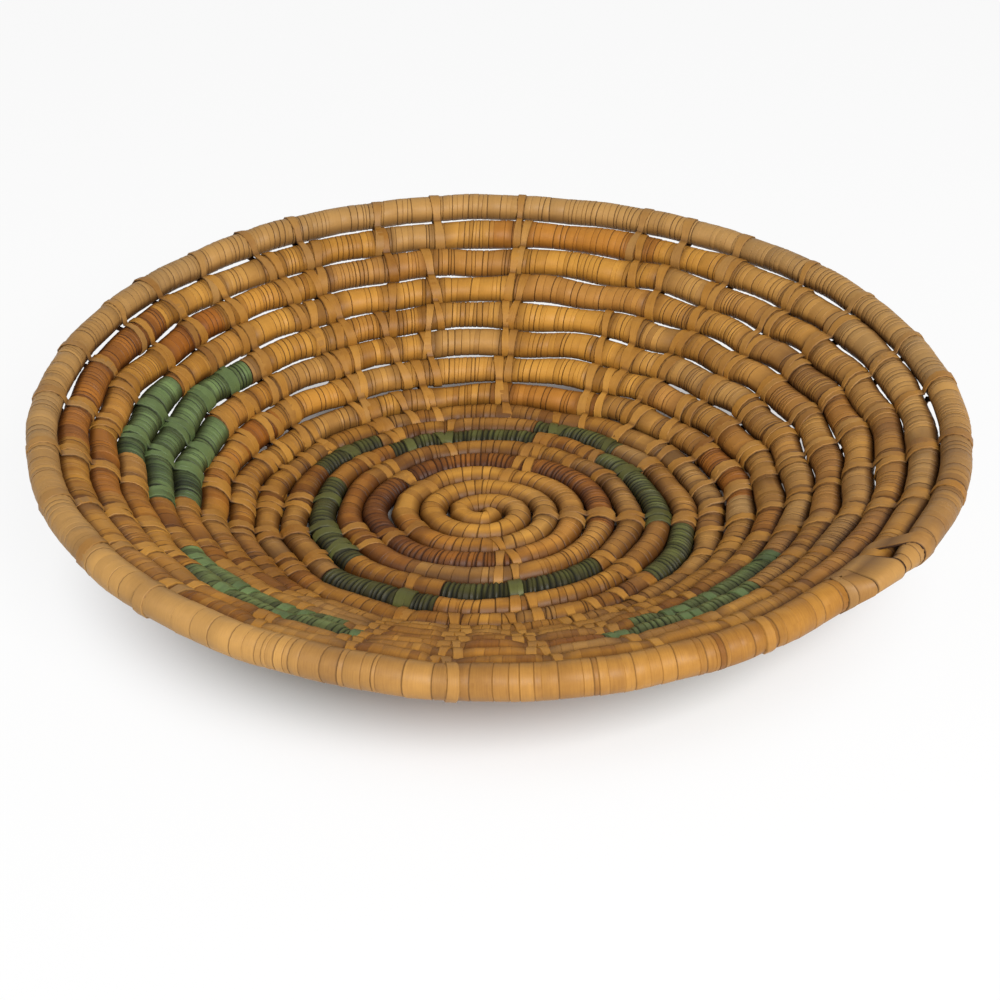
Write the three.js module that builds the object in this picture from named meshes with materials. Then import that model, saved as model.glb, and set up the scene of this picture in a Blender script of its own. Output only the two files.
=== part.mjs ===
// A coiled wall basket: one spiral of wrapped grass, sewn row to row, with a flat base and a flared wall.
// Millimetres, +Z up. The basket stands on its base lashings at z = 0.
import * as THREE from 'three';

// Overall sizes, to the middle of the coil.
const FOOT_RADIUS = 94.4;
const RIM_RADIUS = 171.5;
const RIM_RISE = 55;
const FOOT_BEND_RADIUS = 30;

// The coil over its wraps, and the open slit between neighbouring rows. The base's slit is narrowest, as
// given here, at the front and the back of its oval.
const BASE_COIL_DIAMETER = 9.3;
const WALL_COIL_DIAMETER = 10.9;
const RIM_COIL_THICK = 13.2;
const RIM_COIL_THIN = 10.8;
const BASE_SLIT = 0.9;
const WALL_SLIT = 1.73;

// How far the hand-made basket is from round and level.
const BASE_OVAL = 0.085;
const RIM_LIFT_BACK = 7;
const RIM_DROP_RIGHT = 2.4;
const RIM_SHIFT_RIGHT = 3.7;
const RIM_SHIFT_FRONT = 3;

// The two ends of the coil. Turns count rows outward from the pole of the spiral.
const START_TURN = 0.45;
const START_THINNING = 0.3;
const START_THINNING_TURNS = 1;
const TAIL_ANGLE = -50;
const TAIL_LENGTH = 60;
const TAIL_THINNING = 0.6;
const TAIL_PAST_MEAN_ROW = 0.47;

// Where the coil's thickness changes, in turns: past the foot, and before the tail for the rim row.
const FOOT_THICKENING = 1.5;
const RIM_SWELLS_FROM = 1.15;
const RIM_SWELLS_TO = 0.92;
const RIM_THINS_FROM = 0.89;
const RIM_THINS_TO = 0.29;

// Wraps and lashings.
const WRAP_THICKNESS = 1;
const LASHING_THICKNESS = 0.7;
const LASHING_WIDTH = 5;
const WEB_ROOM = 0.28;
const CLEARANCE = 0.3;
const FACETS_PER_LASHING = 2;

// Facets: sides of the coil's section, and steps in each of its turns.
const SIDES = 6;
const OUTER_RIDGE = 0;
const INNER_RIDGE = SIDES / 2;
const INNER_STEPS = 12;
const OUTER_STEPS = 20;
const INNER_TURNS = 2.1;
const LEAST_GAP = 0.4;
const GAP_SAMPLES = 60;
const PLANE_STEPS = 4;

const COLOURS = {
  natural: { color: 0xb07d42, roughness: 0.6 },
  green: { color: 0x58704a, roughness: 0.6 },
  rust: { color: 0xa05f2d, roughness: 0.6 },
  grass: { color: 0xa58a55, roughness: 0.9 },
  lashing: { color: 0xb8863f, roughness: 0.6 },
};

const UP = new THREE.Vector3(0, 0, 1);
const FLAT_SHARE = Math.cos(Math.PI / SIDES);
const WALL_ANGLE = Math.atan2(RIM_RISE, RIM_RADIUS - FOOT_RADIUS);
const WALL_SLANT = Math.hypot(RIM_RISE, RIM_RADIUS - FOOT_RADIUS);
const BASE_PITCH = (BASE_COIL_DIAMETER + BASE_SLIT) / (1 - BASE_OVAL);
const WALL_PITCH = WALL_COIL_DIAMETER + WALL_SLIT;
const FOOT_TURN = FOOT_RADIUS / BASE_PITCH;
const END_TURN = FOOT_TURN + WALL_SLANT / WALL_PITCH + TAIL_PAST_MEAN_ROW;
const FOOT_ROW = Math.ceil(END_TURN - FOOT_TURN) + 1;
const TAIL_TURNS = TAIL_LENGTH / (2 * Math.PI * RIM_RADIUS);
const BEND_START = FOOT_RADIUS - FOOT_BEND_RADIUS * Math.tan(WALL_ANGLE / 2);
const BEND_LENGTH = FOOT_BEND_RADIUS * WALL_ANGLE;
const BASE_HEIGHT = (BASE_COIL_DIAMETER / 2) * FLAT_SHARE + CLEARANCE + LASHING_THICKNESS;
const LASHING_WEB = BASE_SLIT - 2 * WEB_ROOM;
const INNERMOST_LASHED_TURN = INNER_TURNS + 1 + 1 / OUTER_STEPS;

// Coloured runs of wrap: the row, counted from the rim, at the run's outer end, and the two directions that
// the run lies between, in degrees, counterclockwise from above, from the right-hand side.
// Runs in the base and at the foot keep their place there: their rows are counted on from the foot's row.
const COLOURED_RUNS = [
  { name: 'wrap_rust_base', colour: 'rust', row: FOOT_ROW + 4, from: -15, to: 290 },
  { name: 'wrap_green_base_1', colour: 'green', row: FOOT_ROW + 2, from: 257, to: 316 },
  { name: 'wrap_green_base_2', colour: 'green', row: FOOT_ROW + 2, from: 158, to: 220 },
  { name: 'wrap_green_base_3', colour: 'green', row: FOOT_ROW + 2, from: 71, to: 127 },
  { name: 'wrap_green_base_4', colour: 'green', row: FOOT_ROW + 2, from: -8, to: 43 },
  { name: 'wrap_green_base_5', colour: 'green', row: FOOT_ROW + 1, from: 221, to: 257 },
  { name: 'wrap_green_base_6', colour: 'green', row: FOOT_ROW + 1, from: 126, to: 153 },
  { name: 'wrap_green_base_7', colour: 'green', row: FOOT_ROW + 1, from: 43, to: 73 },
  { name: 'wrap_green_base_8', colour: 'green', row: FOOT_ROW + 1, from: 321, to: 351 },
  { name: 'wrap_rust_foot_right', colour: 'rust', row: FOOT_ROW - 1, from: -2, to: 25 },
  { name: 'wrap_green_left_1', colour: 'green', row: 6, from: 160, to: 191 },
  { name: 'wrap_green_left_2', colour: 'green', row: 5, from: 144, to: 196 },
  { name: 'wrap_green_left_3', colour: 'green', row: 4, from: 160, to: 186 },
  { name: 'wrap_green_front_left_1', colour: 'green', row: 5, from: 213, to: 248 },
  { name: 'wrap_green_front_left_2', colour: 'green', row: 4, from: 221, to: 252 },
  { name: 'wrap_green_front_right_1', colour: 'green', row: 5, from: 294, to: 327 },
  { name: 'wrap_green_front_right_2', colour: 'green', row: 4, from: 287, to: 314 },
  { name: 'wrap_rust_rim_left', colour: 'rust', row: 2, from: 152, to: 190 },
];

const ramp = THREE.MathUtils.smoothstep;

// The coil's diameter over its wraps: even in the base and the wall, thick where the rim row starts,
// thinner round the rim, and drawn in at both ends.
function coilDiameter(turn) {
  const left = END_TURN - turn;
  const thinning = THREE.MathUtils.clamp((RIM_THINS_FROM - left) / (RIM_THINS_FROM - RIM_THINS_TO), 0, 1);
  const rim = THREE.MathUtils.lerp(RIM_COIL_THICK, RIM_COIL_THIN, thinning);
  const thickening = ramp(turn, FOOT_TURN, FOOT_TURN + FOOT_THICKENING);
  const plain = THREE.MathUtils.lerp(BASE_COIL_DIAMETER, WALL_COIL_DIAMETER, thickening);
  const diameter = THREE.MathUtils.lerp(plain, rim, ramp(-left, -RIM_SWELLS_FROM, -RIM_SWELLS_TO));
  const start = ramp(turn, START_TURN, START_TURN + START_THINNING_TURNS);
  return diameter * (1 - START_THINNING * (1 - start));
}

function tailShare(turn) {
  return 1 - TAIL_THINNING * ramp(turn, END_TURN - TAIL_TURNS, END_TURN);
}

// Where the middle of the coil crosses the basket's side view, with the slope there.
function profile(turn) {
  const inBase = Math.min(turn, FOOT_TURN) * BASE_PITCH;
  const inWall = Math.max(turn - FOOT_TURN, 0) * WALL_PITCH;
  const swell = turn > END_TURN - RIM_SWELLS_FROM ? (coilDiameter(turn) - WALL_COIL_DIAMETER) / 2 : 0;
  const drawnIn = ((1 - tailShare(turn)) * coilDiameter(turn)) / 2;
  const along = inBase + inWall + swell - drawnIn;
  const bend = THREE.MathUtils.clamp((along - BEND_START) / FOOT_BEND_RADIUS, 0, WALL_ANGLE);
  const straight = Math.max(along - BEND_START - BEND_LENGTH, 0);
  const radius = Math.min(along, BEND_START)
    + FOOT_BEND_RADIUS * Math.sin(bend) + straight * Math.cos(WALL_ANGLE);
  const height = FOOT_BEND_RADIUS * (1 - Math.cos(bend)) + straight * Math.sin(WALL_ANGLE);
  return { radius, height, slope: bend };
}

function direction(turn) {
  return THREE.MathUtils.degToRad(TAIL_ANGLE) + 2 * Math.PI * (END_TURN - turn);
}

// The turn at which a row, counted from the rim, passes a direction.
function turnAt(row, degrees) {
  const past = THREE.MathUtils.euclideanModulo(degrees - TAIL_ANGLE, 360) / 360;
  return END_TURN - (row - 1) - past;
}

// The corners of the coil's section at one turn, in a plane that stands on the spiral's radius.
function cornersAt(turn, radiusOf) {
  const { radius, height, slope } = profile(turn);
  const angle = direction(turn);
  const out = new THREE.Vector3(Math.cos(angle), Math.sin(angle), 0);
  const share = Math.max((radius - FOOT_RADIUS) / (RIM_RADIUS - FOOT_RADIUS), 0);
  const oval = 1 - BASE_OVAL * Math.max(1 - share, 0);
  const lean = (share * radius * (RIM_LIFT_BACK * out.y - RIM_DROP_RIGHT * out.x)) / RIM_RADIUS;
  const middle = new THREE.Vector3(
    radius * out.x + share * RIM_SHIFT_RIGHT,
    radius * out.y * oval - share * RIM_SHIFT_FRONT,
    BASE_HEIGHT + height + lean);
  const across = out.clone().multiplyScalar(Math.cos(slope)).addScaledVector(UP, Math.sin(slope));
  const inward = out.clone().multiplyScalar(-Math.sin(slope)).addScaledVector(UP, Math.cos(slope));
  const size = radiusOf((coilDiameter(turn) * tailShare(turn)) / 2);
  return Array.from({ length: SIDES }, (_, side) => {
    const corner = (2 * Math.PI * side) / SIDES;
    return middle.clone()
      .addScaledVector(across, size * Math.cos(corner))
      .addScaledVector(inward, size * Math.sin(corner));
  });
}

// The turns at which the whole coil has a section, so that what lies on it or in it has the same facets.
// Outer rows have theirs at the same directions, counted back from the tail.
function sectionTurns() {
  const outerCount = Math.floor((END_TURN - INNER_TURNS) * OUTER_STEPS);
  const innerEnd = END_TURN - outerCount / OUTER_STEPS;
  const innerCount = Math.round((innerEnd - START_TURN) * INNER_STEPS);
  const inner = Array.from({ length: innerCount }, (_, i) => (
    THREE.MathUtils.lerp(START_TURN, innerEnd, i / innerCount)));
  const outer = Array.from({ length: outerCount + 1 }, (_, i) => END_TURN - (outerCount - i) / OUTER_STEPS);
  return [...inner, ...outer];
}
const SECTIONS = sectionTurns();

// A section anywhere on the coil, on the straight facets between its own sections.
function facetCorners(turn, radiusOf) {
  const next = Math.max(SECTIONS.findIndex((section) => section >= turn), 1);
  const before = SECTIONS[next - 1];
  const share = (turn - before) / (SECTIONS[next] - before);
  const after = cornersAt(SECTIONS[next], radiusOf);
  return cornersAt(before, radiusOf).map((corner, i) => corner.lerp(after[i], share));
}

function sectionsBetween(from, to, radiusOf) {
  const nearly = 1e-6;
  const inside = SECTIONS.filter((turn) => turn > from + nearly && turn < to - nearly);
  return [from, ...inside, to].map((turn) => facetCorners(turn, radiusOf));
}

const onWrap = (radius) => radius;
const inBore = (radius) => radius - WRAP_THICKNESS;
const onFoundation = (radius) => radius - WRAP_THICKNESS - CLEARANCE / FLAT_SHARE;
const clearOfWrap = (radius) => radius + CLEARANCE / FLAT_SHARE;
const onLashing = (radius) => radius + (CLEARANCE + LASHING_THICKNESS) / FLAT_SHARE;

function closedGeometry(points, triangles) {
  const geometry = new THREE.BufferGeometry();
  geometry.setAttribute('position', new THREE.Float32BufferAttribute(points.flatMap((p) => p.toArray()), 3));
  geometry.setIndex(triangles);
  return geometry;
}

// Joins two rings of corners into a band of triangles that faces out when the second ring is further on.
function band(triangles, first, second) {
  for (let side = 0; side < SIDES; side += 1) {
    const next = (side + 1) % SIDES;
    triangles.push(first + side, first + next, second + side);
    triangles.push(first + next, second + next, second + side);
  }
}

// A solid tube through a list of sections.
function solidTube(sections) {
  const triangles = [];
  for (let i = 0; i + 1 < sections.length; i += 1) {
    band(triangles, i * SIDES, (i + 1) * SIDES);
  }
  const last = (sections.length - 1) * SIDES;
  for (let side = 1; side + 1 < SIDES; side += 1) {
    triangles.push(0, side + 1, side);
    triangles.push(last, last + side, last + side + 1);
  }
  return closedGeometry(sections.flat(), triangles);
}

// A hollow tube: the outer sections, then the bore's, with a flat ring at each end.
function hollowTube(outer, bore) {
  const triangles = [];
  const boreStart = outer.length * SIDES;
  const last = (outer.length - 1) * SIDES;
  for (let i = 0; i + 1 < outer.length; i += 1) {
    band(triangles, i * SIDES, (i + 1) * SIDES);
    band(triangles, boreStart + (i + 1) * SIDES, boreStart + i * SIDES);
  }
  band(triangles, boreStart, 0);
  band(triangles, last, boreStart + last);
  return closedGeometry([...outer.flat(), ...bore.flat()], triangles);
}

const basket = new THREE.Group();

function addPiece(name, geometry, colour) {
  const mesh = new THREE.Mesh(geometry, new THREE.MeshStandardMaterial({ ...COLOURS[colour], metalness: 0 }));
  mesh.name = name;
  basket.add(mesh);
}

// The bundle of grass inside, unbroken from the centre to the tail.
function addFoundation() {
  addPiece('foundation_coil', solidTube(sectionsBetween(START_TURN, END_TURN, onFoundation)), 'grass');
}

// The wraps round it. Natural runs fill the lengths between the coloured ones.
function addWraps() {
  const coloured = COLOURED_RUNS
    .map(({ name, colour, row, from, to }) => {
      const end = turnAt(row, from);
      return { name, colour, start: end - (to - from) / 360, end };
    })
    .sort((a, b) => a.start - b.start);
  const runs = [];
  let free = START_TURN;
  let naturalCount = 0;
  const addNatural = (end) => {
    naturalCount += 1;
    const number = String(naturalCount).padStart(2, '0');
    runs.push({ name: `wrap_natural_${number}`, colour: 'natural', start: free, end });
  };
  for (const run of coloured) {
    addNatural(run.start);
    runs.push(run);
    free = run.end;
  }
  addNatural(END_TURN);
  for (const { name, colour, start, end } of runs) {
    const halfGap = (turn) => CLEARANCE / 2 / (2 * Math.PI * profile(turn).radius);
    const from = start === START_TURN ? start : start + halfGap(start);
    const to = end === END_TURN ? end : end - halfGap(end);
    addPiece(name, hollowTube(sectionsBetween(from, to, onWrap), sectionsBetween(from, to, inBore)), colour);
  }
}

// The outline that a taut strip takes round some points, by turning the same way all along.
function tautOutline(points) {
  const sorted = [...points].sort((a, b) => a.x - b.x || a.y - b.y);
  const turnsLeft = (a, b, c) => (b.x - a.x) * (c.y - a.y) - (b.y - a.y) * (c.x - a.x) > 0;
  const half = (list) => {
    const chain = [];
    for (const point of list) {
      while (chain.length > 1 && !turnsLeft(chain.at(-2), chain.at(-1), point)) {
        chain.pop();
      }
      chain.push(point);
    }
    return chain.slice(0, -1);
  };
  return [...half(sorted), ...half(sorted.reverse())];
}

// The turn at which a row crosses the upright plane through the pole, square to a lashing's strip.
function turnInPlane(row, degrees, alongStrip) {
  let turn = turnAt(row, degrees);
  for (let step = 0; step < PLANE_STEPS; step += 1) {
    const corners = facetCorners(turn, onWrap);
    const aside = corners.reduce((sum, corner) => sum + corner.dot(alongStrip), 0) / SIDES;
    turn -= aside / (2 * Math.PI * profile(turn).radius);
  }
  return turn;
}

// How far the spiral's growth takes a row sideways over half the width of a lashing.
function straying(turn) {
  return ((LASHING_WIDTH / 2) * WALL_PITCH) / (2 * Math.PI * profile(turn).radius);
}

// A column of long stitches that ties rows at one direction: a strip round all of them, with an opening
// for each row and a thin web of strip in each slit, those past its first and last rows among them.
function addLashing(name, degrees, outerRow, innerRow) {
  const angle = THREE.MathUtils.degToRad(degrees);
  const out = new THREE.Vector3(Math.cos(angle), Math.sin(angle), 0);
  const alongStrip = new THREE.Vector3().crossVectors(out, UP);
  const flatCorners = (turn, radiusOf) => facetCorners(turn, radiusOf)
    .map((corner) => new THREE.Vector2(corner.dot(out), corner.z));
  const webFaces = (outerTurn) => {
    const outerRidge = flatCorners(outerTurn, onWrap)[INNER_RIDGE];
    const innerRidge = flatCorners(outerTurn - 1, onWrap)[OUTER_RIDGE];
    const halfWeb = outerRidge.clone().sub(innerRidge).setLength(LASHING_WEB / 2);
    const middle = outerRidge.clone().add(innerRidge).multiplyScalar(0.5);
    return { outer: middle.clone().add(halfWeb), inner: middle.clone().sub(halfWeb) };
  };

  const rows = Array.from({ length: innerRow - outerRow + 1 }, (_, i) => outerRow + i);
  const turns = rows
    .filter((row) => turnAt(row, degrees) > INNERMOST_LASHED_TURN)
    .map((row) => turnInPlane(row, degrees, alongStrip));
  const outsides = turns.map((turn) => flatCorners(turn, onLashing));
  const openings = turns.map((turn) => flatCorners(turn, (radius) => clearOfWrap(radius) + straying(turn)));
  turns.forEach((turn, i) => {
    const faces = webFaces(turn);
    const beyond = i + 1 < turns.length ? openings[i + 1] : null;
    openings[i][INNER_RIDGE] = faces.outer;
    if (beyond) {
      beyond[OUTER_RIDGE] = faces.inner;
    } else {
      outsides[i][INNER_RIDGE] = faces.inner;
    }
  });
  if (turns[0] + 1 <= END_TURN) {
    const faces = webFaces(turns[0] + 1);
    openings[0][OUTER_RIDGE] = faces.inner;
    outsides[0][OUTER_RIDGE] = faces.outer;
  }

  const strip = new THREE.Shape(tautOutline(outsides.flat()));
  strip.holes = openings.map((opening) => new THREE.Path(opening));
  const geometry = new THREE.ExtrudeGeometry(strip, { depth: LASHING_WIDTH, bevelEnabled: false });
  const frame = new THREE.Matrix4().makeBasis(out, UP, alongStrip);
  frame.setPosition(alongStrip.clone().multiplyScalar(-LASHING_WIDTH / 2));
  addPiece(name, geometry.applyMatrix4(frame), 'lashing');
}

// Lashings lie on the middle of a facet, clear of the thin tail.
// Base ones lie between wall ones, in every second gap.
function addLashings() {
  const facet = 360 / OUTER_STEPS;
  const step = facet * FACETS_PER_LASHING;
  const first = TAIL_ANGLE + 1.5 * facet;
  const wallCount = Math.floor(OUTER_STEPS / FACETS_PER_LASHING);
  for (let i = 0; i < wallCount; i += 1) {
    const number = String(i + 1).padStart(2, '0');
    addLashing(`lashing_wall_${number}`, first + i * step, 1, FOOT_ROW);
  }
  for (let i = 0; i < Math.floor(wallCount / 2); i += 1) {
    addLashing(`lashing_base_${i + 1}`, first + facet + 2 * i * step, FOOT_ROW, Math.ceil(END_TURN));
  }
}

// The least gap between each row and the next, on the corners of their sections.
function leastGap(radiusOf) {
  let least = Infinity;
  for (let turn = START_TURN; turn + 1 <= END_TURN; turn += 1 / GAP_SAMPLES) {
    const row = facetCorners(turn, radiusOf);
    const next = facetCorners(turn + 1, radiusOf);
    for (const corner of row) {
      for (const other of next) {
        least = Math.min(least, corner.distanceTo(other));
      }
    }
  }
  return least;
}

addFoundation();
addWraps();
addLashings();

for (const [name, radiusOf] of [['foundation coil', onFoundation], ['wrapped coil', onWrap]]) {
  const gap = leastGap(radiusOf);
  console.log(`${name}: least gap between rows ${gap.toFixed(2)} mm, over ${LEAST_GAP}: ${gap > LEAST_GAP}`);
}

// The origin is under the middle of the basket, on the surface that it stands on.
const box = new THREE.Box3().setFromObject(basket);
const centre = box.getCenter(new THREE.Vector3());
basket.position.set(-centre.x, -centre.y, -box.min.z);
console.log(`pole of the spiral at ${(-centre.x).toFixed(3)}, ${(-centre.y).toFixed(3)} mm`);

export default basket;
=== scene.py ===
# %% [markdown]
# # A coiled wall basket
# The real basket is one long bundle of dry grass, wound as a spiral into a flat base and then up a flared
# wall. A flat leaf strip is wrapped round the bundle, turn beside turn, and now and then it takes a long
# stitch over the row before, which sews the rows together. The CAD model holds that coil as plain tubes.
# This lesson hides them and builds the strips, the stitches and the grass in the same places.

# %% Load the CAD frame
import math

import bpy
import numpy as np
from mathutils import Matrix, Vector


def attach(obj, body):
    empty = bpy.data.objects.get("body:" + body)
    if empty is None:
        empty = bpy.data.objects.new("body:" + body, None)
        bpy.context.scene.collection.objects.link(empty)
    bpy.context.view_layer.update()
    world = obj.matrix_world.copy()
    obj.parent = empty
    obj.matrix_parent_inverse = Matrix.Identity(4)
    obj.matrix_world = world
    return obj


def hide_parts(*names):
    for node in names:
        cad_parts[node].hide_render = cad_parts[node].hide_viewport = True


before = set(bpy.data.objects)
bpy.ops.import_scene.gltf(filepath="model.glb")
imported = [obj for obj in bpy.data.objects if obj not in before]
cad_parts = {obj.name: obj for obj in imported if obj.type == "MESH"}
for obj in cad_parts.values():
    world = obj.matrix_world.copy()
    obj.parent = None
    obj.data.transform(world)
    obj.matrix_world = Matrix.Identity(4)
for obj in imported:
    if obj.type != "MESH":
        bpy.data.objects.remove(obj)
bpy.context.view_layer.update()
bpy.ops.object.select_all(action="DESELECT")
MM = 0.001

# %% [markdown]
# ## The camera
# The photograph looks down into the bowl from the front, from about the reach of an arm and a half. The
# place, the pitch and the lens were found by laying the CAD model's rows over the rows in the picture.

# %% Camera
CAMERA_PLACE = (0.00134, -0.60467, 0.38498)
CAMERA_PITCH = math.radians(31.62)
CAMERA_LENS = 63.59
SENSOR_WIDTH = 36

bpy.ops.object.camera_add(location=CAMERA_PLACE, rotation=(math.pi / 2 - CAMERA_PITCH, 0, 0))
camera = bpy.context.object
camera.data.lens = CAMERA_LENS
camera.data.sensor_width = SENSOR_WIDTH
bpy.context.scene.camera = camera
print("camera at", CAMERA_PLACE, "with a", CAMERA_LENS, "mm lens")

# %% [markdown]
# ## The coil's route
# Everything on this basket follows one line, the middle of the coil. It is worked out here from the same
# sizes as the CAD model, in millimetres, with turns counted outward from the pole of the spiral. Places are
# named by directions from the pole, seen from above, so that a look can change from side to side: a sector
# has a middle direction and two cosines, between which it fades in.

# %% Sizes of the coil
FOOT_RADIUS = 94.4
RIM_RADIUS = 171.5
RIM_RISE = 55
FOOT_BEND = 30
BASE_COIL = 9.3
WALL_COIL = 10.9
RIM_THICK = 13.2
RIM_THIN = 10.8
RIM_THINS_FROM = 0.89
RIM_THINS_OVER = 0.6
BASE_SLIT = 0.9
WALL_SLIT = 1.73
BASE_OVAL = 0.085
RIM_LIFT_BACK = 7
RIM_DROP_RIGHT = 2.4
RIM_SHIFT_RIGHT = 3.7
RIM_SHIFT_FRONT = 3
POLE = np.array([-5.716, 0.971, 5.027])
START_TURN = 0.45
START_THINNING = 0.3
TAIL_ANGLE = -50
TAIL_LENGTH = 60
TAIL_THINNING = 0.6
TAIL_PAST_MEAN_ROW = 0.47

WALL_ANGLE = math.atan2(RIM_RISE, RIM_RADIUS - FOOT_RADIUS)
WALL_SLANT = math.hypot(RIM_RISE, RIM_RADIUS - FOOT_RADIUS)
BASE_PITCH = (BASE_COIL + BASE_SLIT) / (1 - BASE_OVAL)
WALL_PITCH = WALL_COIL + WALL_SLIT
FOOT_TURN = FOOT_RADIUS / BASE_PITCH
END_TURN = FOOT_TURN + WALL_SLANT / WALL_PITCH + TAIL_PAST_MEAN_ROW
FOOT_ROW = math.ceil(END_TURN - FOOT_TURN) + 1
BEND_START = FOOT_RADIUS - FOOT_BEND * math.tan(WALL_ANGLE / 2)
print("coil of", round(END_TURN - START_TURN, 2), "turns, with the foot at row", FOOT_ROW)

# %% Name places on the coil
RIGHT, BACK, LEFT, FRONT = 0, 90, 180, 270
RIM_STARTS = (1.15, 0.92)


def ramp(value, low, high):
    """0 up to the low limit and 1 past the high one, with a smooth change between them."""
    share = np.clip((value - low) / (high - low), 0, 1)
    return share * share * (3 - 2 * share)


def blend(first, second, share):
    return first + (second - first) * share


def rim_share(turn, starts=RIM_STARTS):
    """0 in the wall and 1 in the rim, which is the coil's last turn."""
    return ramp(turn, END_TURN - starts[0], END_TURN - starts[1])


def wall_share(turn, before=0, after=1):
    """0 in the base and 1 in the wall, with the change about the foot."""
    return ramp(turn, FOOT_TURN - before, FOOT_TURN + after)


def direction_at(turn):
    return (TAIL_ANGLE + 360 * (END_TURN - turn)) % 360


def in_sector(turn, sector):
    """1 in the middle of a sector and 0 outside it."""
    direction, faint, full = sector
    return ramp(np.cos(np.radians(direction_at(turn) - direction)), faint, full)


def turn_at(row, degrees):
    """The turn at which a row, counted from the rim, passes a direction."""
    return END_TURN - (row - 1) - ((degrees - TAIL_ANGLE) % 360) / 360


print("the rim passes the back at turn", round(turn_at(1, BACK), 2), "of", round(END_TURN, 2))

# %% [markdown]
# The route departs from the CAD model's in three small ways. The coil starts a little earlier. The rows
# behind that start are drawn in, so that the centre closes as in the picture. And a slow wave over the whole
# basket makes neighbouring rows crowd here and part there, as in hand work.

# %% Follow the coil
FOOT_GROWTH = 1.5
EYE_TURN = 0.32
EYE_PULL = 4.6
EYE_PULL_TURNS = 5
UNEVEN = 0.4
UNEVEN_WAVES = ((1 / 47, 1 / 83, 1), (-1 / 71, 1 / 44, 2.4), (1 / 95, -1 / 39, 4.1))
UNEVEN_AFTER = (1, 3)
UNEVEN_UNTIL = (2, 1.2)
ROUTE_POINTS = 8001


def coil_diameter(turn):
    thinned = np.clip((RIM_THINS_FROM - (END_TURN - turn)) / RIM_THINS_OVER, 0, 1)
    rim = blend(RIM_THICK, RIM_THIN, thinned)
    plain = blend(BASE_COIL, WALL_COIL, wall_share(turn, 0, FOOT_GROWTH))
    coil = blend(plain, rim, rim_share(turn))
    return coil * blend(1 - START_THINNING, 1, ramp(turn, START_TURN, START_TURN + 1))


def tail_share(turn):
    return 1 - TAIL_THINNING * ramp(turn, END_TURN - TAIL_LENGTH / (2 * math.pi * RIM_RADIUS), END_TURN)


def vectors(*parts):
    return np.stack(np.broadcast_arrays(*parts), axis=-1)


def uneven(middle):
    waves = 0
    for x, y, phase in UNEVEN_WAVES:
        waves = waves + np.sin(2 * math.pi * (x * middle[..., 0] + y * middle[..., 1]) + phase)
    return UNEVEN * waves


def coil_place(turn):
    """The middle of the coil, and the directions across the rows and up out of the weave."""
    turn = np.asarray(turn, float)
    coil = coil_diameter(turn)
    along = np.minimum(turn, FOOT_TURN) * BASE_PITCH + np.maximum(turn - FOOT_TURN, 0) * WALL_PITCH
    along += np.where(turn > END_TURN - RIM_STARTS[0], (coil - WALL_COIL) / 2, 0)
    along -= (1 - tail_share(turn)) * coil / 2
    bend = np.clip((along - BEND_START) / FOOT_BEND, 0, WALL_ANGLE)
    straight = np.maximum(along - BEND_START - FOOT_BEND * WALL_ANGLE, 0)
    radius = np.minimum(along, BEND_START) + FOOT_BEND * np.sin(bend) + straight * math.cos(WALL_ANGLE)
    height = FOOT_BEND * (1 - np.cos(bend)) + straight * math.sin(WALL_ANGLE)
    angle = math.radians(TAIL_ANGLE) + 2 * math.pi * (END_TURN - turn)
    out_x, out_y = np.cos(angle), np.sin(angle)
    share = np.maximum((radius - FOOT_RADIUS) / (RIM_RADIUS - FOOT_RADIUS), 0)
    oval = 1 - BASE_OVAL * np.maximum(1 - share, 0)
    lean = share * radius * (RIM_LIFT_BACK * out_y - RIM_DROP_RIGHT * out_x) / RIM_RADIUS
    pull = EYE_PULL * np.maximum(1 - turn / EYE_PULL_TURNS, 0) * np.maximum(out_y, 0)
    middle = POLE + vectors(
        radius * out_x + share * RIM_SHIFT_RIGHT,
        radius * out_y * oval - share * RIM_SHIFT_FRONT - pull,
        height + lean)
    across = vectors(np.cos(bend) * out_x, np.cos(bend) * out_y, np.sin(bend))
    upward = vectors(-np.sin(bend) * out_x, -np.sin(bend) * out_y, np.cos(bend))
    waving = ramp(turn, *UNEVEN_AFTER) * (1 - rim_share(turn, UNEVEN_UNTIL))
    middle = middle + (uneven(middle) * waving)[..., None] * across
    return middle, across, upward


turn_steps = np.linspace(EYE_TURN, END_TURN, ROUTE_POINTS)
step_lengths = np.linalg.norm(np.diff(coil_place(turn_steps)[0], axis=0), axis=1)
arc_steps = np.concatenate([[0], np.cumsum(step_lengths)])


def arc_at(turn):
    return np.interp(turn, turn_steps, arc_steps)


def turn_of_arc(arc):
    return np.interp(arc, arc_steps, turn_steps)


print("the coil is", round(arc_steps[-1] / 1000, 2), "m long")
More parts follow.
